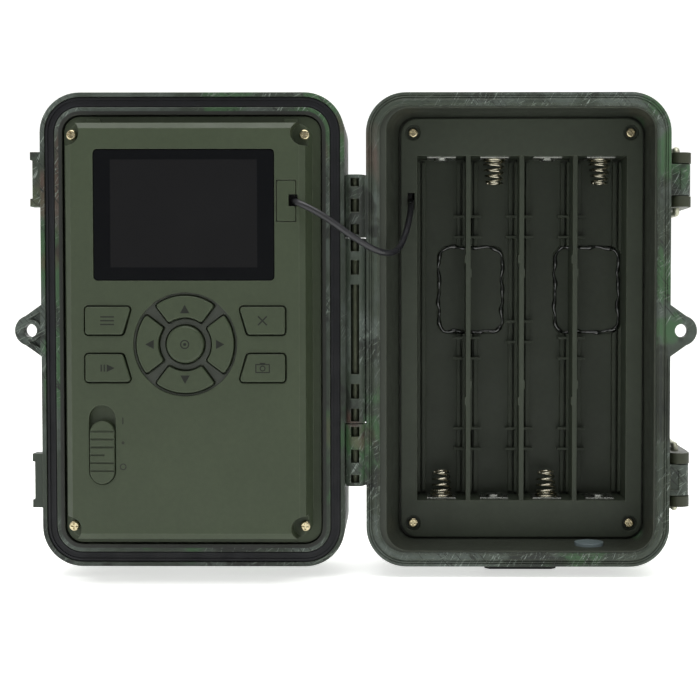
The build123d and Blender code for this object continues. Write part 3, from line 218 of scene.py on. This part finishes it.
class Surface:
    """One node material, built up in short steps."""

    def __init__(self, name, colour, roughness, metallic=0.0):
        self.material = bpy.data.materials.new(name)
        self.material.use_nodes = True
        self.tree = self.material.node_tree
        self.shader = self.tree.nodes["Principled BSDF"]
        self.where = self.add("ShaderNodeTexCoord").outputs["Object"]
        self.colour = linear(colour)
        self.rough = roughness
        self.normal = None
        self.set("Metallic", metallic)

    def set(self, socket, value):
        self.shader.inputs[socket].default_value = value

    def add(self, kind, **settings):
        node = self.tree.nodes.new(kind)
        for key, value in settings.items():
            setattr(node, key, value)
        return node

    def feed(self, node, socket, value):
        """Links value to the socket, or stores it there if it is a plain number or colour."""
        if isinstance(value, bpy.types.NodeSocket):
            self.tree.links.new(value, node.inputs[socket])
        else:
            node.inputs[socket].default_value = value

    def math(self, operation, a, b=0.0):
        node = self.add("ShaderNodeMath", operation=operation)
        self.feed(node, 0, a)
        self.feed(node, 1, b)
        return node.outputs[0]

    def split(self):
        node = self.add("ShaderNodeSeparateXYZ")
        self.feed(node, 0, self.where)
        return node.outputs

    def placed(self, scale=(1, 1, 1), turn=(0, 0, 0), move=(0, 0, 0)):
        node = self.add("ShaderNodeMapping")
        self.feed(node, "Vector", self.where)
        node.inputs["Scale"].default_value = scale
        node.inputs["Rotation"].default_value = [math.radians(a) for a in turn]
        node.inputs["Location"].default_value = move
        return node.outputs[0]

    def leaned(self, lean, width, length):
        """Coordinates stretched along an upright direction that leans by some degrees."""
        node = self.add("ShaderNodeMapping", vector_type="TEXTURE")
        self.feed(node, "Vector", self.where)
        node.inputs["Scale"].default_value = (width, width * 4, length)
        node.inputs["Rotation"].default_value = (0, math.radians(lean), 0)
        return node.outputs[0]

    def radius_from(self, middle):
        """Distance from an axis along Y through the middle point."""
        x, _, z = self.split()
        dx, dz = self.math("SUBTRACT", x, middle.x), self.math("SUBTRACT", z, middle.z)
        return self.math("SQRT", self.math("ADD", self.math("MULTIPLY", dx, dx), self.math("MULTIPLY", dz, dz)))

    def lines(self, value, start, pitch, width):
        """1 on thin lines a pitch apart."""
        steps = self.math("DIVIDE", self.math("SUBTRACT", value, start), pitch)
        away = self.math("ABSOLUTE", self.math("SUBTRACT", steps, self.math("ROUND", steps)))
        return self.step(away, width / pitch / 2, width / pitch, 1.0, 0.0)

    def noise(self, scale, detail=3.0, rough=0.5, where=None, warp=0.0):
        node = self.add("ShaderNodeTexNoise")
        self.feed(node, "Vector", where or self.where)
        node.inputs["Scale"].default_value = scale
        node.inputs["Detail"].default_value = detail
        node.inputs["Roughness"].default_value = rough
        node.inputs["Distortion"].default_value = warp
        return node.outputs["Fac"]

    def step(self, value, low, high, start=0.0, end=1.0):
        node = self.add("ShaderNodeMapRange", interpolation_type="SMOOTHSTEP")
        self.feed(node, "Value", value)
        node.inputs["From Min"].default_value = low
        node.inputs["From Max"].default_value = high
        node.inputs["To Min"].default_value = start
        node.inputs["To Max"].default_value = end
        return node.outputs["Result"]

    def mix(self, factor, a, b):
        node = self.add("ShaderNodeMix", data_type="RGBA")
        self.feed(node, 0, factor)
        self.feed(node, 6, a)
        self.feed(node, 7, b)
        return node.outputs[2]

    def paint(self, factor, rgb):
        """Lays a colour over what is there, where factor is 1."""
        self.colour = self.mix(factor, self.colour, linear(rgb))

    def vary(self, scale, amount, detail=4.0):
        """Cloudy lighter and darker patches."""
        cloud = self.step(self.noise(scale, detail, 0.6), 0.3, 0.7, 1 - amount, 1 + amount)
        node = self.add("ShaderNodeMix", data_type="RGBA", blend_type="MULTIPLY")
        self.feed(node, 0, 1.0)
        self.feed(node, 6, self.colour)
        grey = self.add("ShaderNodeCombineColor")
        for channel in range(3):
            self.feed(grey, channel, cloud)
        self.feed(node, 7, grey.outputs[0])
        self.colour = node.outputs[2]

    def vary_rough(self, scale, amount):
        low, high = self.rough - amount, self.rough + amount
        self.rough = self.step(self.noise(scale, 5.0, 0.6), 0.3, 0.7, low, high)

    def bump(self, height, depth, strength=1.0):
        node = self.add("ShaderNodeBump")
        node.inputs["Strength"].default_value = strength
        node.inputs["Distance"].default_value = depth
        self.feed(node, "Height", height)
        if self.normal is not None:
            self.feed(node, "Normal", self.normal)
        self.normal = node.outputs[0]

    def soften(self, radius, lighten=0.0, rgb=(255, 255, 255)):
        """Rounds the light on hard edges, and wears them paler."""
        bevel = self.add("ShaderNodeBevel", samples=4)
        bevel.inputs["Radius"].default_value = radius
        self.normal = bevel.outputs[0]
        if lighten:
            flat = self.add("ShaderNodeNewGeometry").outputs["Normal"]
            product = self.add("ShaderNodeVectorMath", operation="DOT_PRODUCT")
            self.feed(product, 0, bevel.outputs[0])
            self.feed(product, 1, flat)
            edge = self.step(product.outputs["Value"], 0.9, 0.995, 1.0, 0.0)
            worn = self.step(self.noise(260, 4.0, 0.6), 0.25, 0.6)
            self.paint(self.math("MULTIPLY", self.math("MULTIPLY", edge, worn), lighten), rgb)

    def grain(self, size, depth, detail=2.0):
        """Fine moulded grain whose features are size across."""
        self.bump(self.noise(1 / size, detail, 0.6), depth)

    def finish(self, *objects):
        self.feed(self.shader, "Base Color", self.colour)
        self.feed(self.shader, "Roughness", self.rough)
        if self.normal is not None:
            self.feed(self.shader, "Normal", self.normal)
        for made in objects:
            wear(made, self.material)
        return self.material


def wear(made, material):
    if not made.material_slots:
        made.data.materials.append(material)
    for slot in made.material_slots:
        slot.material = material


def dress(material, *nodes):
    for node in nodes:
        wear(frame["nodes"][node], material)


# ---------------------------------------------------------------- materials
OLIVE = (56, 65, 47)
DARK_OLIVE = (54, 60, 49)
WORN_OLIVE = (112, 120, 98)

# The printed pattern, from the ground up.
CAMO_GROUND = (53, 61, 52)
CAMO_HAZE = (80, 88, 83)
CAMO_LEAF = (56, 88, 56)
CAMO_SHADOW = (31, 34, 30)
CAMO_BARK = (88, 62, 55)
# Grass strokes: lean from upright in degrees, colour, and the noise level where they start.
CAMO_STROKES = (
    (28, (126, 135, 128), 0.61),
    (-40, (36, 40, 36), 0.58),
    (62, (106, 116, 106), 0.62),
)
STROKE_WIDTH, STROKE_LENGTH = 0.45 * MM, 7.0 * MM

# Where the print gives way to plain plastic: inset from the outline, and depth behind the gasket.
FRONT_PRINT_END, FRONT_INSIDE_DEPTH, FRONT_INSIDE = 5.4 * MM, 34.0 * MM, (38, 40, 36)
REAR_PRINT_END, REAR_INSIDE_DEPTH, REAR_INSIDE = 3.9 * MM, 37.0 * MM, (50, 54, 46)

DIAL_RADIUS = 15.0 * MM
DIAL_SINK = 0.35 * MM
PICTURE_HALF_W, PICTURE_HALF_H, PICTURE_RISE = 21.2 * MM, 15.5 * MM, 0.4 * MM
LAMP_SIZE, LAMP_COLUMNS, LAMP_ROWS = 3.0 * MM, 8, 5
PIR_PITCH_X, PIR_PITCH_Z, PIR_SEAM = 4.3 * MM, 6.1 * MM, 0.3 * MM
# The lens is painted on a flat disc; the last size is where the painted reflection in its middle fades into
# painted shade.
LENS_RING_OUTER, LENS_RING_INNER, LENS_REFLECTION_R = 5.6 * MM, 4.9 * MM, 3.6 * MM


def outline_inset(surface, middle_x):
    """How far a point lies inside the case's rounded outline, seen from the front."""
    x, _, z = surface.split()
    out_x = surface.math("SUBTRACT", surface.math("ABSOLUTE", surface.math("SUBTRACT", x, middle_x)),
                         CASE_HALF_W - CASE_CORNER)
    out_z = surface.math("SUBTRACT", surface.math("ABSOLUTE", surface.math("SUBTRACT", z, CAMERA_MID.z)),
                         CASE_HALF_H - CASE_CORNER)
    far_x, far_z = surface.math("MAXIMUM", out_x, 0.0), surface.math("MAXIMUM", out_z, 0.0)
    corner = surface.math("SQRT", surface.math("ADD", surface.math("MULTIPLY", far_x, far_x),
                                               surface.math("MULTIPLY", far_z, far_z)))
    inner = surface.math("MINIMUM", surface.math("MAXIMUM", out_x, out_z), 0.0)
    return surface.math("SUBTRACT", CASE_CORNER, surface.math("ADD", corner, inner))


def camo_colours(surface):
    """A printed woodland pattern: soft blotches, leaf patches, and thin strokes of dry grass."""
    surface.colour = linear(CAMO_GROUND)
    surface.paint(surface.step(surface.noise(46, 5.0, 0.62), 0.46, 0.6, 0.0, 0.8), CAMO_HAZE)
    place = surface.placed(move=(0.7, 0.2, 0.4))
    surface.paint(surface.step(surface.noise(24, 4.0, 0.55, place, 0.4), 0.53, 0.58, 0.0, 0.85), CAMO_LEAF)
    place = surface.placed(move=(0.1, 0.9, 0.3))
    surface.paint(surface.step(surface.noise(44, 4.0, 0.6, place, 0.3), 0.56, 0.62, 0.0, 0.85), CAMO_SHADOW)
    place = surface.placed(move=(0.35, 0.5, 0.75))
    surface.paint(surface.step(surface.noise(20, 3.0, 0.5, place, 0.2), 0.64, 0.68, 0.0, 0.55), CAMO_BARK)
    patches = surface.step(surface.noise(30, 3.0, 0.5, surface.placed(move=(0.5, 0.1, 0.9))), 0.42, 0.56)
    for lean, shade, low in CAMO_STROKES:
        stretched = surface.leaned(lean, STROKE_WIDTH, STROKE_LENGTH)
        strokes = surface.step(surface.noise(1.0, 2.0, 0.5, stretched), low, low + 0.05)
        surface.paint(surface.math("MULTIPLY", strokes, patches), shade)


def shell_material(name, middle_x, plain_from, inner_y, inner_rgb):
    """Camouflage outside and plain plastic inside. plain_from is the inset where the print ends."""
    surface = Surface(name, (60, 66, 58), 0.5)
    camo_colours(surface)
    inset = outline_inset(surface, middle_x)
    _, y, _ = surface.split()
    inside = surface.step(inset, plain_from, plain_from + 0.3 * MM)
    inside = surface.math("MULTIPLY", inside, surface.step(y, inner_y, inner_y + 0.5 * MM, 1.0, 0.0))
    surface.paint(inside, inner_rgb)
    surface.vary(55, 0.08)
    surface.set("Specular IOR Level", 0.35)
    surface.soften(0.5 * MM, 0.25, WORN_OLIVE)
    surface.vary_rough(90, 0.08)
    surface.grain(0.35 * MM, 0.04 * MM)
    return surface.finish()


def plastic(name, rgb, roughness, grain_size=0.3, grain_depth=0.03, edge=0.25, edge_rgb=WORN_OLIVE):
    surface = Surface(name, rgb, roughness)
    surface.set("Specular IOR Level", 0.32)
    surface.vary(48, 0.06)
    surface.vary(600, 0.05)
    surface.soften(0.35 * MM, edge, edge_rgb)
    surface.vary_rough(120, 0.05)
    surface.grain(grain_size * MM, grain_depth * MM)
    return surface.finish()


def panel_material():
    """The olive panel; the floor of the dial recess has a greyer eroded finish."""
    surface = Surface("olive_panel", OLIVE, 0.46)
    surface.vary(38, 0.05)
    surface.vary(700, 0.05)
    surface.set("Specular IOR Level", 0.32)
    _, y, _ = surface.split()
    radius = surface.radius_from(DIAL)
    sunk = surface.step(y, PANEL_FRONT + DIAL_SINK, PANEL_FRONT + DIAL_SINK + 0.15 * MM)
    within = surface.step(radius, DIAL_RADIUS, DIAL_RADIUS + 0.2 * MM, 1.0, 0.0)
    dial = surface.math("MULTIPLY", sunk, within)
    surface.paint(dial, (56, 60, 53))
    surface.soften(0.4 * MM, 0.3, WORN_OLIVE)
    surface.vary_rough(110, 0.05)
    surface.grain(0.3 * MM, 0.03 * MM)
    return surface.finish()


def rubber_material():
    surface = Surface("seal_rubber", (19, 20, 24), 0.5)
    surface.vary(200, 0.2)
    surface.set("Specular IOR Level", 0.3)
    dust = surface.step(surface.noise(900, 3.0, 0.7), 0.66, 0.76, 0.0, 0.3)
    surface.paint(dust, (74, 76, 78))
    surface.vary_rough(160, 0.1)
    surface.grain(0.25 * MM, 0.02 * MM)
    return surface.finish()


def window_material():
    """A glossy black window with the slightly paler picture area of the screen behind it."""
    surface = Surface("display_glass", (13, 14, 16), 0.12)
    middle = centre("display_module")
    x, _, z = surface.split()
    edge = 0.15 * MM
    across = surface.math("ABSOLUTE", surface.math("SUBTRACT", x, middle.x))
    upright = surface.math("ABSOLUTE", surface.math("SUBTRACT", z, middle.z + PICTURE_RISE))
    picture = surface.math("MULTIPLY", surface.step(across, PICTURE_HALF_W, PICTURE_HALF_W + edge, 1.0, 0.0),
                           surface.step(upright, PICTURE_HALF_H, PICTURE_HALF_H + edge, 1.0, 0.0))
    surface.paint(picture, (26, 26, 27))
    surface.set("Specular IOR Level", 0.12)
    surface.rough = surface.step(surface.noise(35, 4.0, 0.6, None, 0.5), 0.4, 0.7, 0.1, 0.2)
    return surface.finish()


def metal(name, rgb, roughness, scratch=0.02):
    surface = Surface(name, rgb, roughness, 1.0)
    surface.vary(350, 0.12)
    surface.vary_rough(500, 0.1)
    surface.soften(0.15 * MM, 0.0)
    scratches = surface.noise(1.0, 2.0, 0.5, surface.placed((9000, 9000, 700)))
    surface.bump(scratches, scratch * MM)
    return surface.finish()


def cable_material():
    surface = Surface("cable_jacket", (31, 31, 34), 0.34)
    surface.vary(180, 0.15)
    surface.vary_rough(300, 0.08)
    surface.bump(surface.noise(700, 3.0, 0.6), 0.03 * MM)
    return surface.finish()


def glue_material():
    """Clear hot glue over the dark plastic: dark itself, with bright glints."""
    surface = Surface("clear_glue", (30, 33, 29), 0.14)
    surface.vary(400, 0.3)
    surface.set("Coat Weight", 0.8)
    surface.set("Coat Roughness", 0.06)
    surface.bump(surface.noise(700, 2.0, 0.5), 0.08 * MM)
    return surface.finish()


def engraving_shade_material(name, rgb):
    """Painted shade for the sunk line of a legend: a darker green of the panel's own colour that stands in for
    the shadow inside the engraving.
    """
    surface = Surface(name, rgb, 0.5)
    surface.vary(900, 0.15)
    surface.set("Specular IOR Level", 0.3)
    surface.grain(0.15 * MM, 0.01 * MM)
    return surface.finish()


def board_material():
    surface = Surface("circuit_board", (24, 66, 44), 0.4)
    x, _, z = surface.split()
    tracks = surface.noise(1.0, 1.0, 0.4, surface.placed((260, 260, 1900)))
    surface.paint(surface.step(tracks, 0.55, 0.58, 0.0, 0.5), (52, 104, 70))
    surface.vary(90, 0.08)
    surface.bump(tracks, 0.03 * MM)
    return surface.finish()


def ir_window_material():
    """A nearly black infrared filter; the lamps behind it show as dim rings."""
    surface = Surface("ir_filter", (14, 9, 10), 0.1)
    low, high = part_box("ir_leds")
    pitch_x = (high.x - low.x - LAMP_SIZE) / (LAMP_COLUMNS - 1)
    pitch_z = (high.z - low.z - LAMP_SIZE) / (LAMP_ROWS - 1)
    x, _, z = surface.split()
    local = []
    for value, start, pitch in ((x, low.x + LAMP_SIZE / 2, pitch_x), (z, low.z + LAMP_SIZE / 2, pitch_z)):
        steps = surface.math("DIVIDE", surface.math("SUBTRACT", value, start), pitch)
        whole = surface.math("ROUND", steps)
        local.append(surface.math("MULTIPLY", surface.math("SUBTRACT", steps, whole), pitch))
    squares = [surface.math("MULTIPLY", v, v) for v in local]
    radius = surface.math("SQRT", surface.math("ADD", *squares))
    surface.paint(surface.step(radius, LAMP_SIZE / 2, LAMP_SIZE / 2 + 0.3 * MM, 1.0, 0.0), (40, 28, 30))
    surface.paint(surface.step(radius, 0.5 * MM, 0.8 * MM, 1.0, 0.0), (88, 74, 72))
    surface.set("Specular IOR Level", 0.25)
    surface.set("Coat Weight", 0.15)
    surface.set("Coat Roughness", 0.04)
    surface.vary_rough(60, 0.04)
    return surface.finish()


def pir_material():
    """A milky lens moulded in rows of small fields, with a faint line between them."""
    surface = Surface("pir_white", (206, 208, 200), 0.42)
    surface.vary(120, 0.03)
    middle = centre("pir_lens")
    x, _, z = surface.split()
    seams = surface.math("MAXIMUM", surface.lines(x, middle.x, PIR_PITCH_X, PIR_SEAM),
                         surface.lines(z, middle.z, PIR_PITCH_Z, PIR_SEAM))
    surface.paint(surface.math("MULTIPLY", seams, 0.45), (150, 152, 146))
    surface.set("Subsurface Weight", 0.15)
    surface.set("Subsurface Scale", 0.002)
    surface.vary_rough(200, 0.05)
    surface.bump(seams, 0.12 * MM, 0.6)
    surface.grain(0.4 * MM, 0.02 * MM)
    return surface.finish()


def lens_material():
    """Dark coated glass, painted on a flat disc: a black surround, a thin ring, and a bluish front element. Its
    paler bluish middle, fading darker outwards, is a painted reflection off the coated front element with
    painted shade for the depth of the lens.
    """
    surface = Surface("lens_glass", (9, 9, 11), 0.07)
    radius = surface.radius_from(centre("lens_window"))
    surface.paint(surface.step(radius, LENS_RING_OUTER, LENS_RING_OUTER + 0.2 * MM, 1.0, 0.0), (34, 35, 38))
    surface.paint(surface.step(radius, LENS_RING_INNER, LENS_RING_INNER + 0.2 * MM, 1.0, 0.0), (10, 12, 24))
    # Painted reflection: a paler bluish middle that fades into painted shade outwards, for the look of a deep
    # coated lens.
    surface.paint(surface.step(radius, 1.0 * MM, LENS_REFLECTION_R, 1.0, 0.0), (26, 24, 56))
    surface.set("Specular IOR Level", 0.3)
    surface.set("Coat Weight", 0.25)
    surface.set("Coat Roughness", 0.02)
    surface.set("Coat Tint", (0.6, 0.7, 1.0, 1.0))
    return surface.finish()


def dress_cad():
    """Gives every CAD node its material."""
    seal_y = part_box("gasket")[0].y
    front = shell_material("camo_front_shell", CAMERA_MID.x, FRONT_PRINT_END, seal_y + FRONT_INSIDE_DEPTH,
                           FRONT_INSIDE)
    rear = shell_material("camo_rear_shell", CASE_REAR_X, REAR_PRINT_END, seal_y + REAR_INSIDE_DEPTH,
                          REAR_INSIDE)
    olive = plastic("olive_keys", OLIVE, 0.42)
    tray = plastic("dark_olive_tray", DARK_OLIVE, 0.5, 0.4, 0.03, 0.3, (92, 100, 80))
    black = plastic("black_plastic", (21, 22, 22), 0.45, 0.3, 0.03, 0.3, (70, 72, 70))
    steel = metal("steel", (176, 178, 172), 0.3)
    wire = metal("galvanised_wire", (168, 168, 150), 0.46, 0.04)
    pin = metal("dull_pin", (84, 88, 74), 0.6)
    nickel = metal("nickel_screw", (196, 184, 150), 0.24)
    brass = metal("brass", (186, 152, 88), 0.32)
    board = board_material()
    component = plastic("component_black", (22, 22, 23), 0.4, 0.25, 0.02, 0.1, (60, 60, 60))
    lens = lens_material()
    dress(front, "front_shell")
    dress(rear, "rear_shell")
    lever = plastic("lever_olive", (50, 54, 40), 0.5, 0.35, 0.04, 0.25, (86, 92, 70))
    dress(lever, "latch_lever_upper", "latch_lever_lower")
    dress(panel_material(), "control_panel")
    keys = [name for name in frame["nodes"] if name.startswith("key_") and name != "key_board"]
    dress(olive, "cable_cover", "slide_knob", *keys)
    dress(tray, "battery_tray", "bay_floor_covers")
    dress(black, "front_bezel", "tripod_plate", "strap_bracket", "lens_ring", "lens_barrel")
    dress(plastic("jack_shell", (104, 116, 118), 0.35, 0.3, 0.02, 0.2, (150, 160, 160)), "dc_jack")
    dress(rubber_material(), "gasket", "dc_plug")
    dress(window_material(), "display_window")
    dress(component, "display_module", "tact_switches", "slide_switch_body", "cable_connector", "image_sensor",
          "speaker", "microphone", "battery_terminal")
    dress(board, "main_board", "key_board", "ir_led_board", "pir_board")
    dress(steel, "battery_contacts", "card_socket", "usb_socket", "pir_sensor")
    dress(wire, "wire_bail_upper", "wire_bail_lower")
    dress(pin, "hinge_pin", "latch_pin_upper", "latch_pin_lower")
    dress(nickel, "panel_screws", "tray_screws", "bracket_screws")
    dress(brass, "tripod_insert")
    dress(lens, "lens_window", "light_sensor", "status_led")
    dress(ir_window_material(), "ir_window")
    dress(pir_material(), "pir_lens", "ir_leds")
    return {
        "spring": metal("spring_wire", (206, 200, 180), 0.22),
        "glue": glue_material(),
        # Painted shade: the dark greens of the legends and slide marks stand in for the shadow inside their
        # sunk lines.
        "engraving_shade": engraving_shade_material("legend_engraving_shade", (20, 24, 17)),
        "faint": engraving_shade_material("faint_legend_shade", (34, 40, 29)),
    }


# ---------------------------------------------------------------- power cable
# The cable's route, from the header behind the panel to the terminal behind the tray face.
CABLE_RADIUS = 0.95 * MM
HINGE_AXIS_Y = centre("hinge_pin").y
CABLE_ROUTE = [
    (-0.0173, -0.0080, 0.1125),
    (-0.0173, -0.0152, 0.1125),
    (-0.0090, -0.0148, 0.1085),
    (0.0005, -0.0122, 0.1015),
    (0.0078, -0.0084, 0.0973),
    (0.0126, -0.0014, 0.0976),
    (0.0151, 0.0068, 0.1036),
    (0.0164, 0.0134, 0.1108),
    (0.0164, 0.0190, 0.1143),
    (0.0164, 0.0250, 0.1143),
]


def route_curve(name, points, bevel):
    """An order-3 NURBS curve with the points as its control points, as a mesh."""
    curve = bpy.data.curves.new(name, "CURVE")
    curve.dimensions = "3D"
    curve.resolution_u = 12
    curve.bevel_depth = bevel
    curve.bevel_resolution = 5
    curve.use_fill_caps = True
    spline = curve.splines.new("NURBS")
    spline.points.add(len(points) - 1)
    for point, place in zip(spline.points, points):
        point.co = (*place, 1.0)
    spline.order_u = 3
    spline.use_endpoint_u = True
    holder = bpy.data.objects.new(name, curve)
    bpy.context.scene.collection.objects.link(holder)
    bpy.context.view_layer.update()
    made = bpy.data.meshes.new_from_object(holder)
    bpy.data.objects.remove(holder)
    return made


def make_cable():
    route = [(x, y + HINGE_AXIS_Y, z) for x, y, z in CABLE_ROUTE]
    line = [v.co.copy() for v in route_curve("cable_line", route, 0.0).vertices]
    data = route_curve("cable_tube", route, CABLE_RADIUS)
    data.shade_smooth()
    cable = bpy.data.objects.new("power_lead", data)
    bpy.context.scene.collection.objects.link(cable)
    wear(cable, cable_material())
    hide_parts("power_cable")
    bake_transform(cable)


# ---------------------------------------------------------------- springs in the battery bays
SPRING_TURNS, SPRING_WIRE_R = 5.6, 0.3 * MM
SPRING_BASE_R, SPRING_TIP_R, SPRING_H = 3.3 * MM, 2.4 * MM, 8.0 * MM
SPRING_STEPS = 20  # points per turn
CLOSED_TURN = 0.8


def spring_points(x, y, foot_z, way):
    """A conical coil that starts at foot_z, with closed first and last turns."""
    points, count = [], int(SPRING_TURNS * SPRING_STEPS)
    for i in range(count + 1):
        t = i / count
        turn = 2 * math.pi * SPRING_TURNS * t
        climb = min(max((t * SPRING_TURNS - CLOSED_TURN) / (SPRING_TURNS - 2 * CLOSED_TURN), 0.0), 1.0)
        radius = SPRING_BASE_R + (SPRING_TIP_R - SPRING_BASE_R) * climb
        height = SPRING_WIRE_R + climb * (SPRING_H - 3 * SPRING_WIRE_R) + SPRING_WIRE_R * t
        points.append((x + radius * math.cos(turn), y + radius * math.sin(turn), foot_z + way * height))
    return points


def make_springs(material):
    low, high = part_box("battery_springs")
    middle_y = (low.y + high.y) / 2
    coils = []
    for index, bay in enumerate(BAYS):
        bay_low, bay_high = bay["box_m"]
        x = (bay_low[0] + bay_high[0]) / 2
        foot, way = (low.z, 1) if index % 2 == 0 else (high.z, -1)
        coils.append(tube_mesh(spring_points(x, middle_y, foot, way), SPRING_WIRE_R, 10))
    springs = mesh_object("battery_coils", *join_parts(coils), smooth=True)
    wear(springs, material)
    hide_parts("battery_springs")
    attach(springs, "battery_half")


# ---------------------------------------------------------------- glue round the floor covers
COVER_CENTRES = (-15.6 * MM, 21.9 * MM)
COVER_W, COVER_H, COVER_CORNER = 21.4 * MM, 28.2 * MM, 3.5 * MM
GLUE_INSET = 0.5 * MM
GLUE_STEP = 0.5 * MM
GLUE_R = 0.55 * MM
GLUE_WANDER = 0.22 * MM
ARC_STEPS = 6


def rounded_loop(x, y, z, width, height, radius, step):
    """Points along a rounded rectangle in XZ."""
    points = []
    for quarter in range(4):
        sx, sz = (1, 1, -1, -1)[quarter], (1, -1, -1, 1)[quarter]
        cx, cz = x + sx * (width / 2 - radius), z + sz * (height / 2 - radius)
        for k in range(ARC_STEPS + 1):
            angle = math.radians(90 - 90 * quarter - 90 / ARC_STEPS * k)
            points.append(Vector((cx + radius * math.cos(angle), y, cz + radius * math.sin(angle))))
    loop = []
    for i, at in enumerate(points):
        after = points[(i + 1) % len(points)]
        parts = max(1, round((after - at).length / step))
        loop += [at.lerp(after, k / parts) for k in range(parts)]
    return loop


def make_glue(material):
    low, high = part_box("bay_floor_covers")
    z, y = (low.z + high.z) / 2, low.y - 0.15 * MM
    tray_x = centre("battery_tray").x
    beads = []
    for number, offset in enumerate(COVER_CENTRES):
        loop = rounded_loop(tray_x + offset, y, z, COVER_W - 2 * GLUE_INSET, COVER_H - 2 * GLUE_INSET,
                            COVER_CORNER, GLUE_STEP)
        points, radii = [], []
        for i, at in enumerate(loop):
            turn = 2 * math.pi * i / len(loop)
            wave = math.sin(9 * turn + number) + 0.7 * math.sin(17 * turn + 2.1 * number)
            inward = Vector((tray_x + offset - at.x, 0, z - at.z)).normalized()
            points.append(at + inward * wave * GLUE_WANDER)
            radii.append(GLUE_R * (1 + 0.28 * math.sin(13 * turn + number) + 0.15 * math.sin(29 * turn)))
        beads.append(tube_mesh(points, radii, 10, closed=True))
    glue = mesh_object("cover_glue", *join_parts(beads), smooth=True)
    wear(glue, material)
    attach(glue, "battery_half")


# ---------------------------------------------------------------- legends
# Flat symbols on the keys and beside the slider, coloured with painted shade for the shadow in their sunk
# lines. Their points are in millimetres about the symbol's middle.
LEGEND_THICKNESS = 0.05 * MM
KEY_ARROWS = (("key_up", 90), ("key_down", -90), ("key_left", 180), ("key_right", 0))
SLIDE_MARK_OUT = 6.0 * MM
SLIDE_MARK_RISE = (8.3 * MM, 1.9 * MM, -5.1 * MM)


def flat_strokes(shapes, x, y, z):
    """Thin flat outlines, each given anticlockwise."""
    verts, faces = [], []
    for shape in shapes:
        start, count = len(verts), len(shape)
        for depth in (0.0, LEGEND_THICKNESS):
            verts += [(x + u * MM, y - LEGEND_THICKNESS / 2 + depth, z + v * MM) for u, v in shape]
        faces.append(tuple(start + i for i in range(count)))
        faces.append(tuple(start + count + i for i in reversed(range(count))))
        for i in range(count):
            j = (i + 1) % count
            faces.append((start + j, start + i, start + count + i, start + count + j))
    return verts, faces


def bar(x0, z0, x1, z1):
    return [(x0, z0), (x1, z0), (x1, z1), (x0, z1)]


def turned(points, angle):
    turn = math.radians(angle)
    along, aside = math.cos(turn), math.sin(turn)
    return [(u * along - v * aside, u * aside + v * along) for u, v in points]


def disc(radius, parts=16):
    return [turned([(radius, 0.0)], 360 * k / parts)[0] for k in range(parts)]


def circle_band(outer, inner, cx=0.0, cz=0.0, parts=20):
    """A ring as a row of short four-sided pieces."""
    pieces = []
    for k in range(parts):
        a, b = 2 * math.pi * k / parts, 2 * math.pi * (k + 1) / parts
        pieces.append([(cx + r * math.cos(t), cz + r * math.sin(t))
                       for r, t in ((outer, a), (outer, b), (inner, b), (inner, a))])
    return pieces


def arrow_symbol(angle):
    return [turned([(1.45, 0.0), (-1.0, 1.35), (-1.0, -1.35)], angle)]


def camera_symbol():
    outline = [bar(-2.1, -1.4, 2.1, -1.1), bar(-2.1, 0.9, 2.1, 1.2), bar(-2.1, -1.1, -1.8, 0.9),
               bar(1.8, -1.1, 2.1, 0.9), bar(-0.8, 1.2, 0.8, 1.55)]
    return outline + circle_band(0.85, 0.55, 0.0, -0.1)


def play_symbol():
    return [bar(-2.0, -1.0, -1.6, 1.0), bar(-1.1, -1.0, -0.7, 1.0), [(-0.2, -1.1), (2.1, 0.0), (-0.2, 1.1)]]


def list_symbol():
    return [bar(-2.0, rise - 0.18, 2.0, rise + 0.18) for rise in (1.1, 0.0, -1.1)]


def cross_symbol():
    """Two crossed bars as one outline."""
    reach, half = 1.8, 0.2
    arm = [(reach, -half), (reach, half), (half, half)]
    return [[point for quarter in range(4) for point in turned(arm, 45 + 90 * quarter)]]


def target_symbol():
    return circle_band(1.35, 1.0) + [disc(0.45)]


def place_legend(made, body, material):
    wear(made, material)
    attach(made, body)


def make_legends(engraving_shade, faint):
    # Each key symbol wears painted shade that stands in for the shadow in its engraved lines.
    symbols = [(key, "_arrow", arrow_symbol(angle)) for key, angle in KEY_ARROWS]
    symbols += [("key_menu", "_symbol", list_symbol()), ("key_delete", "_symbol", cross_symbol()),
                ("key_ok", "_symbol", target_symbol()), ("key_play", "_symbol", play_symbol()),
                ("key_photo", "_symbol", camera_symbol())]
    for key, ending, shapes in symbols:
        middle, front = centre(key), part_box(key)[0].y
        made = mesh_object(key + ending, *flat_strokes(shapes, middle.x, front, middle.z))
        place_legend(made, key, engraving_shade)
    knob = centre("slide_knob")
    # The slide marks are painted shade too, a fainter one, for their shallow engraving.
    marks = (("on", [bar(-0.18, -1.0, 0.18, 1.0)]), ("middle", [disc(0.45)]), ("off", circle_band(1.0, 0.66)))
    for (name, shapes), rise in zip(marks, SLIDE_MARK_RISE):
        strokes = flat_strokes(shapes, knob.x + SLIDE_MARK_OUT, PANEL_FRONT, knob.z + rise)
        place_legend(mesh_object("slide_mark_" + name, *strokes), "camera_half", faint)


make_camera()
make_studio()
make_floor()
make_cable()
finishes = dress_cad()
make_springs(finishes["spring"])
make_glue(finishes["glue"])
make_legends(finishes["engraving_shade"], finishes["faint"])
